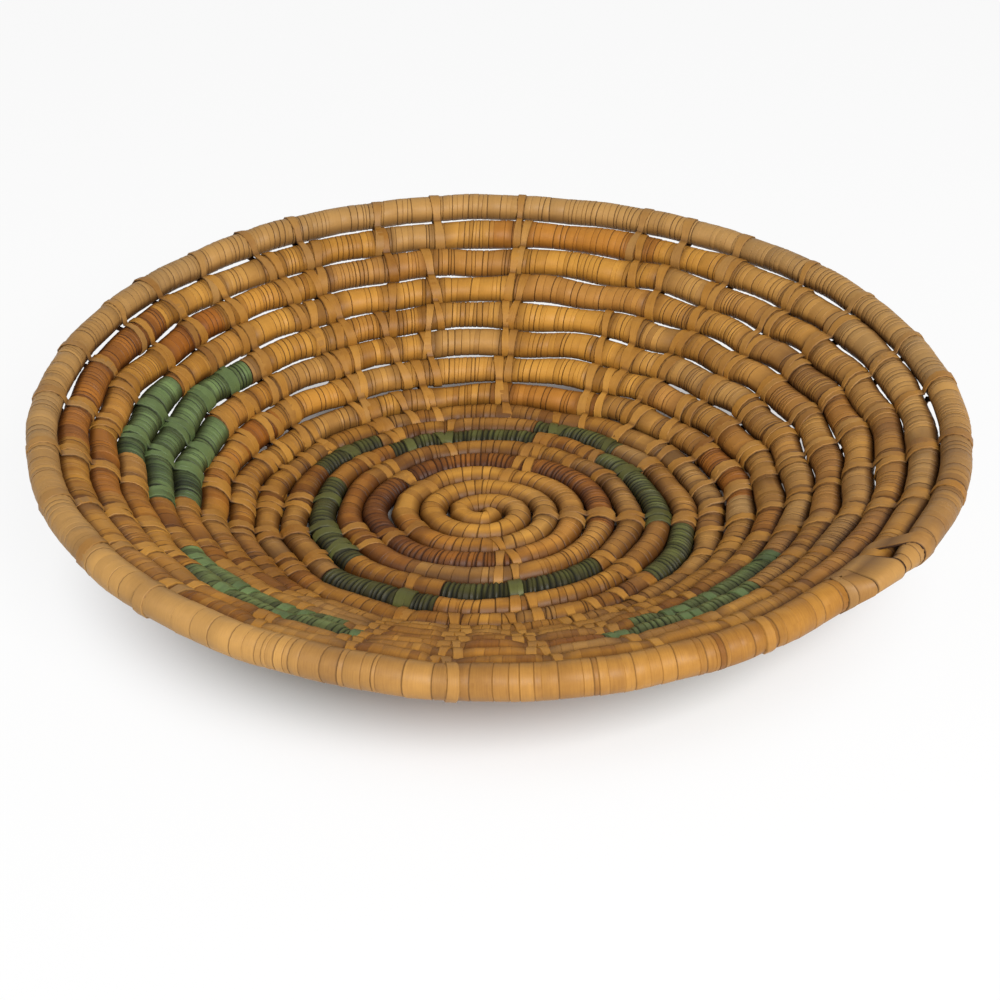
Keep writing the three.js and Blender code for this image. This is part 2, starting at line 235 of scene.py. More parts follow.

# %% [markdown]
# ## Where the long stitches go
# The stitches come first, because they pinch the coil and everything else swells between them. They lie in
# columns that climb the wall, about every ten degrees, as hand work: never quite in line. The columns that
# the CAD model has are kept where they are, and the ones between them are listed. None is placed
# where the tail is bound, because it has strips of its own.

# %% Stitch columns
rng = np.random.default_rng(11)
CAD_FIRST = TAIL_ANGLE + 27
CAD_WALL_STEP = 36
CAD_BASE_STEP = 72
CAD_WALL_DIRECTIONS = np.arange(0, 360, CAD_WALL_STEP) + CAD_FIRST
CAD_BASE_DIRECTIONS = np.arange(0, 360, CAD_BASE_STEP) + CAD_FIRST + CAD_WALL_STEP / 2
MORE_WALL_DIRECTIONS = (-11, 2, 26, 36, 58, 66, 98, 108, 129, 139, 148, 168, 180, 205, 217, 241, 253, 277,
                        289, 313, 325)
MORE_BASE_DIRECTIONS = (30, 48, 103, 121, 175, 193, 247, 265, 319)
FRONT_COLUMNS = (230, 310)
BOUND_TAIL = (304, 331)
BOUND_ROWS = 2
WALL_ROWS = range(1, FOOT_ROW)
BASE_ROWS = range(FOOT_ROW, FOOT_ROW + 6)
MORE_BASE_ROWS = BASE_ROWS[:3]
SIDE_STEP = 2.1
SIDE_STEP_SPREAD = 0.5
INNERMOST_STITCHED_TURN = 3.15
OFTEN_LEFT_OUT = 0.12
CAD_WALL_DRIFT = 0.15
CAD_BASE_DRIFT = 0.4
MORE_WALL_DRIFT = 0.35
MORE_BASE_DRIFT = 0.8


def column_stitches(degrees, rows, spread, left_out):
    """The turns at which one column sews each row to the next one in."""
    drift = rng.normal(0, spread)
    stitches = []
    for place, row in enumerate(rows):
        turn = turn_at(row, degrees + drift * place)
        if row <= BOUND_ROWS and BOUND_TAIL[0] < degrees < BOUND_TAIL[1]:
            continue
        if turn < INNERMOST_STITCHED_TURN or rng.random() < left_out:
            continue
        row_length = 2 * math.pi * np.linalg.norm(coil_place(turn)[0][:2] - POLE[:2])
        aside = (SIDE_STEP if place % 2 else -SIDE_STEP) + rng.normal(0, SIDE_STEP_SPREAD)
        stitches.append(turn + aside / row_length)
    return stitches


columns = {}
for number, degrees in enumerate(CAD_WALL_DIRECTIONS, 1):
    columns[f"lashing_wall_{number:02d}"] = column_stitches(degrees, WALL_ROWS, CAD_WALL_DRIFT, 0)
for number, degrees in enumerate(CAD_BASE_DIRECTIONS, 1):
    columns[f"lashing_base_{number}"] = column_stitches(degrees, BASE_ROWS, CAD_BASE_DRIFT, 0)
for number, degrees in enumerate(MORE_WALL_DIRECTIONS, 1):
    in_front = FRONT_COLUMNS[0] < degrees < FRONT_COLUMNS[1]
    rows = WALL_ROWS[1:] if in_front else WALL_ROWS
    columns[f"stitches_wall_{number:02d}"] = column_stitches(degrees, rows, MORE_WALL_DRIFT, OFTEN_LEFT_OUT)
for number, degrees in enumerate(MORE_BASE_DIRECTIONS, 1):
    columns[f"stitches_base_{number}"] = column_stitches(
        degrees, MORE_BASE_ROWS, MORE_BASE_DRIFT, 2 * OFTEN_LEFT_OUT)
columns = {name: turns for name, turns in columns.items() if turns}
all_stitches = np.array(sorted(turn for turns in columns.values() for turn in turns))
gripped_turns = np.concatenate([all_stitches, all_stitches - 1])
print(len(columns), "columns with", len(all_stitches), "long stitches")

# %% [markdown]
# ## The coil's real surface
# A hand-wound coil isn't an even tube. It wanders a little, it is flatter than it is wide, and it is drawn
# in where a long stitch grips it. Those three things turn the route into a surface that strips can lie on.

# %% Where stitches grip the coil
PINCH_REACH = 4.4
PINCH_SHARPNESS = 4
CLOSING_REACH = 5
CLOSING_SHARPNESS = 2
PINCH_STEP = 0.5
RIM_PINCH = 0.3

pinch_arcs = np.arange(0, arc_steps[-1], PINCH_STEP)


def near_stitches(reach, sharpness):
    """For each place along the coil, 1 at a stitch and 0 far from one."""
    near = np.zeros(len(pinch_arcs))
    for turn in gripped_turns:
        near += np.exp(-(np.abs(pinch_arcs - arc_at(turn)) / reach) ** sharpness)
    return np.minimum(near, 1)


pinch_steps = near_stitches(PINCH_REACH, PINCH_SHARPNESS)
closing_steps = near_stitches(CLOSING_REACH, CLOSING_SHARPNESS)


def grip_at(turn):
    """How hard a stitch grips the coil: the thick rim gives way least."""
    return np.interp(arc_at(turn), pinch_arcs, pinch_steps) * blend(1, RIM_PINCH, rim_share(turn))


print("stitches grip", round(100 * pinch_steps.mean()), "% of the coil")

# %% [markdown]
# The coil nearly fills the room that its neighbours leave it. Slits stay open on the back wall, except
# beside a stitch, which draws the two rows together.

# %% How wide the coil is
BASE_GAP = 0.2
BASE_SIDE_GAP = 0.25
WALL_GAP = 0.15
WALL_GAP_BACK = 1.55
GAPS_AT_BACK = (BACK, 0.2, 0.9)
GAP_CHANGE = 0.7
SLIT_CLOSING = 0.75
RIM_FILL = 1.08
RIM_FILL_FRONT = 0.96
RIM_FILL_LEFT = 0.95
FILLED_FRONT = (FRONT, 0.3, 0.9)
FILLED_LEFT = (LEFT, 0.55, 0.95)
EYE_THINNING = 0.86
EYE_THIN_TURNS = 0.8


def half_width(turn):
    middle = coil_place(turn)[0]
    inward_room = np.linalg.norm(middle - coil_place(np.maximum(turn - 1, EYE_TURN))[0], axis=-1)
    outward_room = np.linalg.norm(middle - coil_place(turn + 1)[0], axis=-1)
    outward_room = np.where(turn > END_TURN - 2, inward_room, outward_room)
    room = np.where(turn < START_TURN + 1, outward_room, (inward_room + outward_room) / 2)
    base_gap = BASE_GAP + BASE_SIDE_GAP * np.cos(np.radians(direction_at(turn))) ** 2
    wall_gap = blend(WALL_GAP, WALL_GAP_BACK, in_sector(turn, GAPS_AT_BACK))
    wall_gap = wall_gap * (1 - SLIT_CLOSING * np.interp(arc_at(turn), pinch_arcs, closing_steps))
    row = (room - blend(base_gap, wall_gap, wall_share(turn, GAP_CHANGE, GAP_CHANGE))) / 2
    row = row * blend(EYE_THINNING, 1, ramp(turn, EYE_TURN, START_TURN + EYE_THIN_TURNS))
    rim_fill = blend(RIM_FILL, RIM_FILL_FRONT, in_sector(turn, FILLED_FRONT))
    rim_fill = blend(rim_fill, RIM_FILL_LEFT, in_sector(turn, FILLED_LEFT))
    rim = coil_diameter(turn) * tail_share(turn) / 2 * rim_fill
    return blend(row, rim, rim_share(turn))


half_steps = half_width(turn_steps)
print("the coil is", round(2 * half_steps.min(), 1), "to", round(2 * half_steps.max(), 1), "mm wide")

# %% [markdown]
# Where the tail leaves the row that it lies against, a small hole is left between the two. Both rows are
# narrowed there, each on the side towards the hole.

# %% Wander and section
WANDER = 0.14
WANDER_LENGTHS = (31, 57, 93, 170)
BASE_RISE = 0.25
STEADY_TURNS = 2
PINCH_WIDE = 0.03
PINCH_TALL = 0.17
RIM_LEFT_IN = 0.55
DRAWN_LEFT = (LEFT, 0.5, 0.95)
TAIL_HOLE = 1.3
TAIL_HOLE_AT = -38.7
TAIL_HOLE_REACH = 2.6
BASE_FLATNESS = 0.92
BASE_TALL = 4.65
WALL_FLATNESS = 0.88
RIM_FLATNESS = 0.95

wander_phases = rng.uniform(0, 2 * math.pi, (2, len(WANDER_LENGTHS)))


def wander(arc, phases):
    waves = [np.sin(2 * math.pi * arc / length + phase) for length, phase in zip(WANDER_LENGTHS, phases)]
    return WANDER * sum(waves)


def near_hole(turn, row, reach):
    """1 beside the small hole that the tail leaves, and 0 far from it."""
    return np.exp(-((arc_at(turn) - arc_at(turn_at(row, TAIL_HOLE_AT))) / reach) ** 2)


def coil_surface(turn):
    """The wandering middle of the coil, its two directions, and its half width and half height."""
    turn = np.asarray(turn, float)
    arc = arc_at(turn)
    in_rim = rim_share(turn)
    in_wall = wall_share(turn, 1, 1)
    middle, across, upward = coil_place(turn)
    steady = ramp(turn, START_TURN, START_TURN + STEADY_TURNS)
    sideways = wander(arc, wander_phases[0]) * steady
    sideways = sideways - RIM_LEFT_IN * in_rim * in_sector(turn, DRAWN_LEFT)
    rise = wander(arc, wander_phases[1]) * steady * blend(BASE_RISE, 1, in_wall)
    half = np.interp(turn, turn_steps, half_steps)
    for row, outward in ((1, 1), (2, -1)):
        hole = TAIL_HOLE * near_hole(turn, row, TAIL_HOLE_REACH)
        half = half - hole / 2
        sideways = sideways + outward * hole / 2
    middle = middle + sideways[..., None] * across + rise[..., None] * upward
    tall = blend(np.minimum(half * BASE_FLATNESS, BASE_TALL), half * WALL_FLATNESS, in_wall)
    tall = blend(tall, half * RIM_FLATNESS, in_rim)
    grip = grip_at(turn)
    return middle, across, upward, half * (1 - PINCH_WIDE * grip), tall * (1 - PINCH_TALL * grip)


print("the tail's hole is at turn", round(turn_at(1, TAIL_HOLE_AT), 2))

# %% [markdown]
# ## Leaf strip as a material
# Palm leaf is satin, with fine fibres along the strip, and it ages to browns and greys in patches. Each turn
# of strip also has a tone of its own, and a dark line where it meets the next, painted as the shade in that
# groove. Painted shade also darkens the strips low between the rows. One node group makes all that from the
# strip's own map and five attributes of the mesh: shade, aged, stain, the shade in crevices and line. Each
# dye gets a material that places the group with its own colours.

# %% Short ways to build nodes
def linear(red, green, blue):
    """A colour as it is written in a paint program, in the linear values that a shader takes."""
    def one(value):
        share = value / 255
        return share / 12.92 if share <= 0.04045 else ((share + 0.055) / 1.055) ** 2.4
    return (one(red), one(green), one(blue), 1)


class Nodes:
    """A short way to add nodes to a tree and to join their sockets."""

    def __init__(self, tree):
        self.tree = tree

    def give(self, socket, value):
        if isinstance(value, bpy.types.NodeSocket):
            self.tree.links.new(value, socket)
        else:
            socket.default_value = value

    def add(self, kind, inputs=None, **settings):
        node = self.tree.nodes.new(kind)
        for name, value in settings.items():
            setattr(node, name, value)
        for name, value in (inputs or {}).items():
            self.give(node.inputs[name], value)
        return node

    def math(self, operation, first, second=0.0, third=0.0, clamp=False):
        inputs = {0: first, 1: second, 2: third}
        return self.add("ShaderNodeMath", inputs, operation=operation, use_clamp=clamp).outputs[0]

    def swing(self, value, amount):
        """A value from 0 to 1 as a swing about 0."""
        return self.math("MULTIPLY_ADD", value, amount, -amount / 2)

    def mix(self, share, first, second, blend_type="MIX"):
        node = self.add("ShaderNodeMix", {"Factor": share}, data_type="RGBA", blend_type=blend_type)
        self.give(node.inputs[6], first)
        self.give(node.inputs[7], second)
        return node.outputs[2]

    def attribute(self, name):
        return self.add("ShaderNodeAttribute", attribute_name=name).outputs["Fac"]

    def noise(self, vector, scale, detail=3.0, roughness=0.55):
        inputs = {"Vector": vector, "Scale": scale, "Detail": detail, "Roughness": roughness}
        return self.add("ShaderNodeTexNoise", inputs).outputs["Fac"]


print("a middle grey is", round(linear(128, 128, 128)[0], 3), "to a shader")

# %% Leaf strip group
STRIP_SOCKETS = ("Dark", "Light", "Stained", "Aged", "Line")
FIBRE_STRETCH = (0.08, 2.6, 1)
FIBRE_DETAIL = 4.0
FIBRE_ROUGHNESS = 0.6
FIBRE_SWING = 0.55
PATCH_SCALE = 34.0
PATCH_DETAIL = 2.0
PATCH_SWING = 0.9
MOTTLE_SCALE = 260.0
MOTTLE_SWING = 0.35
OLD_TONE = (0.5, 0.7)
CREVICE_SHADE_SHARE = 0.92
CREVICE_SHADE_COLOUR = (0.20, 0.14, 0.10, 1)
ROUGHNESS = (0.3, 0.34)
LINE_ROUGHNESS = 0.3


def leaf_strip_group():
    tree = bpy.data.node_groups.new("leaf_strip", "ShaderNodeTree")
    for name in STRIP_SOCKETS:
        tree.interface.new_socket(name, in_out="INPUT", socket_type="NodeSocketColor")
    tree.interface.new_socket("Color", in_out="OUTPUT", socket_type="NodeSocketColor")
    tree.interface.new_socket("Roughness", in_out="OUTPUT", socket_type="NodeSocketFloat")
    tree.interface.new_socket("Height", in_out="OUTPUT", socket_type="NodeSocketFloat")
    nodes = Nodes(tree)
    given = nodes.add("NodeGroupInput").outputs
    strip_map = nodes.add("ShaderNodeUVMap", uv_map="strip").outputs["UV"]
    along_fibres = nodes.add("ShaderNodeMapping", {"Vector": strip_map, "Scale": FIBRE_STRETCH})
    place = nodes.add("ShaderNodeTexCoord").outputs["Object"]
    fibre = nodes.noise(along_fibres.outputs["Vector"], 1.0, FIBRE_DETAIL, FIBRE_ROUGHNESS)
    patches = nodes.noise(place, PATCH_SCALE, PATCH_DETAIL)
    mottle = nodes.noise(place, MOTTLE_SCALE)
    tone = nodes.math("ADD", nodes.swing(fibre, FIBRE_SWING), nodes.attribute("shade"))
    tone = nodes.math("ADD", tone, nodes.swing(patches, PATCH_SWING))
    tone = nodes.math("ADD", tone, nodes.swing(mottle, MOTTLE_SWING), clamp=True)
    colour = nodes.mix(tone, given["Dark"], given["Light"])
    old_tone = nodes.math("MULTIPLY_ADD", tone, *OLD_TONE)
    for attribute, old_colour in (("aged", given["Aged"]), ("stain", given["Stained"])):
        toned = nodes.mix(1.0, old_colour, old_tone, "MULTIPLY")
        colour = nodes.mix(nodes.attribute(attribute), colour, toned)
    # Painted shade low between the rows, in creases and in the hole by the tail: the colour is darkened
    # towards a dark brown.
    crevice_shade = nodes.math("MULTIPLY", nodes.attribute("crevice_shade"), CREVICE_SHADE_SHARE)
    colour = nodes.mix(crevice_shade, colour, nodes.mix(1.0, colour, CREVICE_SHADE_COLOUR, "MULTIPLY"))
    # The dark line between turns is painted shade in the groove.
    line = nodes.attribute("line")
    colour = nodes.mix(line, colour, given["Line"])
    rough = nodes.math("MULTIPLY_ADD", fibre, *ROUGHNESS)
    rough = nodes.math("ADD", rough, nodes.math("MULTIPLY", line, LINE_ROUGHNESS), clamp=True)
    nodes.add("NodeGroupOutput", {"Color": colour, "Roughness": rough, "Height": fibre})
    return tree


strip_group = leaf_strip_group()
print("group", strip_group.name, "with", len(strip_group.nodes), "nodes")

# %% Dyed and natural strips
FIBRE_RELIEF = 0.00012
FIBRE_BUMP = 0.5
STRIP_SPECULAR = 0.24
AGED = (160, 126, 80)
# The last colour of each dye is for its dark lines, painted as shade in the grooves and on the edges of
# stitches.
STRIP_COLOURS = {
    "natural": ((118, 70, 16), (198, 142, 58), (149, 84, 23), AGED, (48, 24, 6)),
    "green": ((30, 38, 17), (112, 132, 80), (92, 88, 40), AGED, (8, 10, 4)),
    "rust": ((96, 53, 15), (172, 108, 40), (104, 56, 17), AGED, (40, 18, 6)),
    "lashing": ((122, 74, 18), (196, 142, 62), (146, 80, 28), AGED, (44, 22, 6)),
}


def strip_material(name, colours):
    material = bpy.data.materials.new(name)
    material.use_nodes = True
    nodes = Nodes(material.node_tree)
    group = nodes.add("ShaderNodeGroup", node_tree=strip_group)
    for socket, colour in zip(STRIP_SOCKETS, colours):
        group.inputs[socket].default_value = linear(*colour)
    relief = {"Strength": FIBRE_BUMP, "Distance": FIBRE_RELIEF, "Height": group.outputs["Height"]}
    bump = nodes.add("ShaderNodeBump", relief)
    shader = material.node_tree.nodes["Principled BSDF"]
    nodes.give(shader.inputs["Specular IOR Level"], STRIP_SPECULAR)
    nodes.give(shader.inputs["Base Color"], group.outputs["Color"])
    nodes.give(shader.inputs["Roughness"], group.outputs["Roughness"])
    nodes.give(shader.inputs["Normal"], bump.outputs["Normal"])
    return material


strips = {dye: strip_material(dye + "_strip", colours) for dye, colours in STRIP_COLOURS.items()}
print("strip materials:", sorted(strips))

# %% [markdown]
# ## One turn of strip
# A strip that is wound round a bundle makes a low band with its two edges pulled in. One band is modelled by
# hand: an open cylinder, cut twice near its ends so that it has two shoulders, with both end rings drawn in.
# Every other turn on the basket is a copy of it, bent to the coil where it lies.

# %% Model one turn
AROUND = 16
SHOULDER = 0.14
DRAWN_IN = 0.9


def select_ring(mesh, height):
    for vertex in mesh.vertices:
        vertex.select = abs(vertex.co.z - height) < 1e-4


bpy.ops.object.select_all(action="DESELECT")
bpy.ops.mesh.primitive_cylinder_add(vertices=AROUND, radius=1, depth=1, end_fill_type="NOTHING",
                                    location=(0, 0, 0.5))
turn_master = bpy.context.object
turn_master.name = "turn_of_strip"
bpy.ops.object.transform_apply(location=True, rotation=False, scale=False)
bpy.ops.object.mode_set(mode="EDIT")
for height in (SHOULDER, 1 - SHOULDER):
    bpy.ops.mesh.select_all(action="SELECT")
    bpy.ops.mesh.bisect(plane_co=(0, 0, height), plane_no=(0, 0, 1))
for height in (0, 1):
    bpy.ops.mesh.select_all(action="DESELECT")
    bpy.ops.object.mode_set(mode="OBJECT")
    select_ring(turn_master.data, height)
    bpy.ops.object.mode_set(mode="EDIT")
    bpy.ops.transform.resize(value=(DRAWN_IN, DRAWN_IN, 1))
bpy.ops.object.mode_set(mode="OBJECT")
print("one turn has", len(turn_master.data.vertices), "points and", len(turn_master.data.polygons), "faces")

# %% Copies of a modelled shape
WELD = 1e-7


class Master:
    """A modelled shape as angles round it, heights along it and radii, with its faces, ready to be bent."""

    def __init__(self, source):
        points = np.array([vertex.co for vertex in source.data.vertices])
        self.angle = np.arctan2(points[:, 1], points[:, 0]) % (2 * math.pi)
        self.height = points[:, 2]
        self.radius = np.hypot(points[:, 0], points[:, 1])
        self.section = np.arctan2(self.height, self.radius - 1) % (2 * math.pi)
        self.faces = np.array([list(face.vertices) for face in source.data.polygons])
        self.corner_angle = self.unrolled(self.angle)
        self.corner_section = self.unrolled(self.section)
        self.corner_height = self.height[self.faces]
        bpy.data.objects.remove(source)

    def unrolled(self, angles):
        corners = angles[self.faces]
        over_seam = corners.max(1, keepdims=True) - corners > math.pi
        return corners + 2 * math.pi * over_seam

    def copies(self, count):
        offsets = np.arange(count)[:, None, None] * len(self.angle)
        return (self.faces[None] + offsets).reshape(-1, self.faces.shape[1]).tolist()

    def each_face(self, values):
        """One value for each copy, repeated for the faces of that copy."""
        return np.repeat(values, len(self.faces))


def new_piece(name, points, faces, materials):
    mesh = bpy.data.meshes.new(name)
    mesh.from_pydata((points.reshape(-1, 3) * MM).tolist(), [], [list(face) for face in faces])
    for material in materials:
        mesh.materials.append(material)
    piece = bpy.data.objects.new(name, mesh)
    bpy.context.scene.collection.objects.link(piece)
    return piece


def set_attribute(piece, name, domain, values):
    attribute = piece.data.attributes.new(name, "FLOAT", domain)
    attribute.data.foreach_set("value", np.ascontiguousarray(values, np.float32).ravel())


def set_map(piece, name, corners):
    layer = piece.data.uv_layers.new(name=name)
    layer.data.foreach_set("uv", np.ascontiguousarray(corners, np.float32).ravel())


def weld_and_smooth(piece, angle):
    bpy.ops.object.select_all(action="DESELECT")
    piece.select_set(True)
    bpy.context.view_layer.objects.active = piece
    bpy.ops.object.mode_set(mode="EDIT")
    bpy.ops.mesh.select_all(action="SELECT")
    bpy.ops.mesh.remove_doubles(threshold=WELD)
    bpy.ops.mesh.normals_make_consistent(inside=False)
    bpy.ops.object.mode_set(mode="OBJECT")
    bpy.ops.object.shade_smooth_by_angle(angle=angle)


turn_shape = Master(turn_master)
print("the turn's faces:", len(turn_shape.faces))

# %% [markdown]
# ## Runs of strip
# A run is a length of coil under one colour of strip. Runs are the CAD model's nodes, so each finished run
# stands for one of them. The last one ends before the CAD model's tail does, under the strips that bind it.

# %% Coloured runs
COLOURED_RUNS = (
    ("wrap_rust_base", FOOT_ROW + 4, -15, 290),
    ("wrap_green_base_1", FOOT_ROW + 2, 257, 316),
    ("wrap_green_base_2", FOOT_ROW + 2, 158, 220),
    ("wrap_green_base_3", FOOT_ROW + 2, 71, 127),
    ("wrap_green_base_4", FOOT_ROW + 2, -8, 43),
    ("wrap_green_base_5", FOOT_ROW + 1, 221, 257),
    ("wrap_green_base_6", FOOT_ROW + 1, 126, 153),
    ("wrap_green_base_7", FOOT_ROW + 1, 43, 73),
    ("wrap_green_base_8", FOOT_ROW + 1, 321, 351),
    ("wrap_rust_foot_right", FOOT_ROW - 1, -2, 25),
    ("wrap_green_left_1", 6, 160, 191),
    ("wrap_green_left_2", 5, 144, 196),
    ("wrap_green_left_3", 4, 160, 186),
    ("wrap_green_front_left_1", 5, 213, 248),
    ("wrap_green_front_left_2", 4, 221, 252),
    ("wrap_green_front_right_1", 5, 294, 327),
    ("wrap_green_front_right_2", 4, 287, 314),
    ("wrap_rust_rim_left", 2, 152, 190),
)
TAIL_UNDER_BINDING = 5.8 / 360


def span(row, low, high):
    """The first and the last turn of a stretch of a row, given by its two directions."""
    end = turn_at(row, low)
    return end - (high - low) / 360, end


def all_runs():
    coloured = sorted((*span(row, low, high), name) for name, row, low, high in COLOURED_RUNS)
    runs = []
    free = EYE_TURN
    for number, (start, end, name) in enumerate(coloured, 1):
        runs.append((f"wrap_natural_{number:02d}", free, start))
        runs.append((name, start, end))
        free = end
    runs.append((f"wrap_natural_{len(coloured) + 1:02d}", free, END_TURN - TAIL_UNDER_BINDING))
    return runs


runs = all_runs()
run_starts = np.array([start for _, start, _ in runs])
run_colours = [name.split("_")[1] for name, _, _ in runs]


def colour_at(turn):
    return run_colours[max(np.searchsorted(run_starts, turn) - 1, 0)]


print(len(runs), "runs of strip")

# %% [markdown]
# ## How the turns differ
# Along each run the turns get their own widths, tones and grooves: more even where the maker worked with
# narrow dyed strip, and wide and smooth round the rim. Natural strip also changes from stretch to stretch,
# because the maker took up a new leaf now and then, so each stretch between stitches has a character of its
# own.

# %% Stretches of natural strip
TONE_LENGTHS = (9, 17, 33, 71)
STRETCH_LEAST = 9
STRETCH_TONE = 0.1
STRETCH_WIDTH = (0.72, 1.3)
STRETCH_STAIN = (0.02, 0.16)
STRETCH_STAIN_MOST = 0.5
STRETCH_AGED = (0.08, 0.2)
STRETCH_AGED_MOST = 0.7

tone_phases = rng.uniform(0, 2 * math.pi, len(TONE_LENGTHS))


def find_stretches():
    """Where the stretches between stitches start, with a tone, a width, a stain and a grey for each."""
    starts = [0.0]
    for arc in np.sort(arc_at(gripped_turns)):
        if arc - starts[-1] > STRETCH_LEAST:
            starts.append(arc)
    count = len(starts)
    return {
        "start": np.array(starts),
        "tone": rng.normal(0, STRETCH_TONE, count),
        "width": rng.uniform(*STRETCH_WIDTH, count),
        "stain": np.clip(rng.normal(*STRETCH_STAIN, count), 0, STRETCH_STAIN_MOST),
        "aged": np.clip(rng.normal(*STRETCH_AGED, count), 0, STRETCH_AGED_MOST),
    }


stretches = find_stretches()


def stretch(arc, what):
    place = np.searchsorted(stretches["start"], arc) - 1
    return stretches[what][np.clip(place, 0, None)]


print(len(stretches["start"]), "stretches of natural strip")

# %% [markdown]
# A turn is one strip wide. Now and then one is much wider, where the leaf was split badly, but not in the
# first loops, where a wide flat turn couldn't follow the bend.

# %% Widths of the turns
WIDTHS = {"natural": (2.35, 0.75), "green": (2.1, 0.3), "rust": (2.2, 0.45), "rim": (2.5, 0.7)}
LEAST_WIDTH = 1.3
WIDE_TURNS = 0.06
WIDE_WIDTH = (4.5, 7.5)
EYE_WIDEST = 4.2
EYE_WIDEST_UNTIL = 2.4
BASE_WIDENING = 0.4
FRONT_WALL_WIDENING = 0.6
FRONT_WALL = (FRONT, 0.6, 0.9)
RIM_CHANGES = 0.3
RIM_WIDENING = (0.4, 2.2)
RIM_WIDE_FRONT = (FRONT, 0.4, 0.95)
RIM_RIGHT_FRONT = (300, 0.3, 1.0)


def draw_widths(low, high, style):
    mean, spread = WIDTHS[style]
    widths = []
    narrow = True
    while sum(widths) < high - low:
        arc = low + sum(widths)
        turn = turn_of_arc(arc)
        wide = style in ("natural", "rim") and rng.random() < WIDE_TURNS
        width = rng.uniform(*WIDE_WIDTH) if wide else rng.normal(mean, spread)
        if style == "natural":
            front_widening = FRONT_WALL_WIDENING * in_sector(turn, FRONT_WALL)
            widening = BASE_WIDENING if turn < FOOT_TURN else front_widening
            width *= stretch(arc, "width") * (1 + widening)
        if style == "rim":
            narrow = narrow != (rng.random() < RIM_CHANGES)
            front = max(in_sector(turn, RIM_WIDE_FRONT), in_sector(turn, RIM_RIGHT_FRONT))
            width *= 1 if narrow else 1 + front * rng.uniform(*RIM_WIDENING)
        widths.append(max(width, LEAST_WIDTH))
    in_eye = turn_of_arc(low + np.cumsum(widths)) < EYE_WIDEST_UNTIL
    widths = np.where(in_eye, np.minimum(widths, EYE_WIDEST), widths)
    return widths * (high - low) / widths.sum()


print("a turn of natural strip is about", WIDTHS["natural"][0], "mm wide")

# %% [markdown]
# Between two turns is a groove with a dark line in it, painted as the groove's shade. Both are strong in the
# narrow dyed strip of the base, and faint on the front wall.

# %% Grooves and lines between the turns
GROOVES = {"natural": 0.2, "green": 0.34, "rust": 0.26, "rim": 0.16}
GROOVE_LEAST = 0.45
GROOVE_RANGE = 0.8
BASE_RELIEF = {"natural": 0.2, "green": 0.6, "rust": 0.4, "rim": 0}
FRONT_WALL_GROOVES = 0.5
LINES = {"natural": 1.0, "green": 1.0, "rust": 1.0, "rim": 0.95}
FRONT_WALL_LINES = 0.25
NATURAL_BASE_LINES = 0.95
GREEN_BASE_LINES = 1.3
RIM_FRONT_LINES = 0.65
RIM_LINED_FRONT = (FRONT, 0.3, 0.8)
EYE_LINES = 0.6
EYE_LINES_UNTIL = (0.3, 1.6)


def base_relief(style, turn):
    return 1 + BASE_RELIEF[style] * (1 - wall_share(turn))


def grooves_and_lines(style, turn, strength):
    """How deep the groove is at each edge of a turn, and how dark its line of painted shade."""
    base = 1 - wall_share(turn)
    groove = GROOVES[style] * (GROOVE_LEAST + GROOVE_RANGE * strength) * base_relief(style, turn)
    line = LINES[style] * strength
    if style == "natural":
        front_wall = in_sector(turn, FRONT_WALL) * (1 - base)
        groove = groove * blend(1, FRONT_WALL_GROOVES, front_wall)
        line = line * blend(1, FRONT_WALL_LINES, front_wall) * blend(1, NATURAL_BASE_LINES, base)
    elif style == "rim":
        line = line * blend(1, RIM_FRONT_LINES * strength, in_sector(turn, RIM_LINED_FRONT))
    elif style == "green":
        line = line * blend(1, GREEN_BASE_LINES, base)
    line = line * blend(EYE_LINES, 1, ramp(turn, *EYE_LINES_UNTIL))
    return groove, np.minimum(line, 1)


print("grooves in mm:", GROOVES)

# %% [markdown]
# The tone of a turn has a part of its own and a part that goes with its place. Two tables give how much
# lighter or darker the strip is in a sector, one for the base and one for the wall. Stain is brown. It is
# strongest on a few listed stretches, and on the greens of the base. Grey is for age, most
# of all in the rim.

# %% Tones by place
TONES = {"natural": 0.11, "green": 0.16, "rust": 0.12, "rim": 0.08}
MIDDLE_TONE = 0.5
TONE_DRIFT = 0.04
RIM_STRETCH_TONE = 0.5
ALL_ROUND = (RIGHT, -3, -2)
BACK_SIDE = (BACK, 0.3, 0.9)
FRONT_SIDE = (FRONT, 0, 0.6)
RIM_RIGHT_SIDE = (RIGHT, 0.85, 0.99)
BASE_LEFT_SIDE = (LEFT, 0.2, 0.9)
GREEN_LIGHT_SIDE = (10, 0.2, 0.9)
GREEN_FRONT_SIDE = (FRONT, 0.2, 0.7)
GREEN_DARK_SIDE = (190, 0.88, 1)
BASE_LEFT = -0.14
NATURAL_BASE = 0.11
NATURAL_RING = -0.08
NATURAL_RING_FROM = (3.5, 5)
GREEN_BASE = -0.2
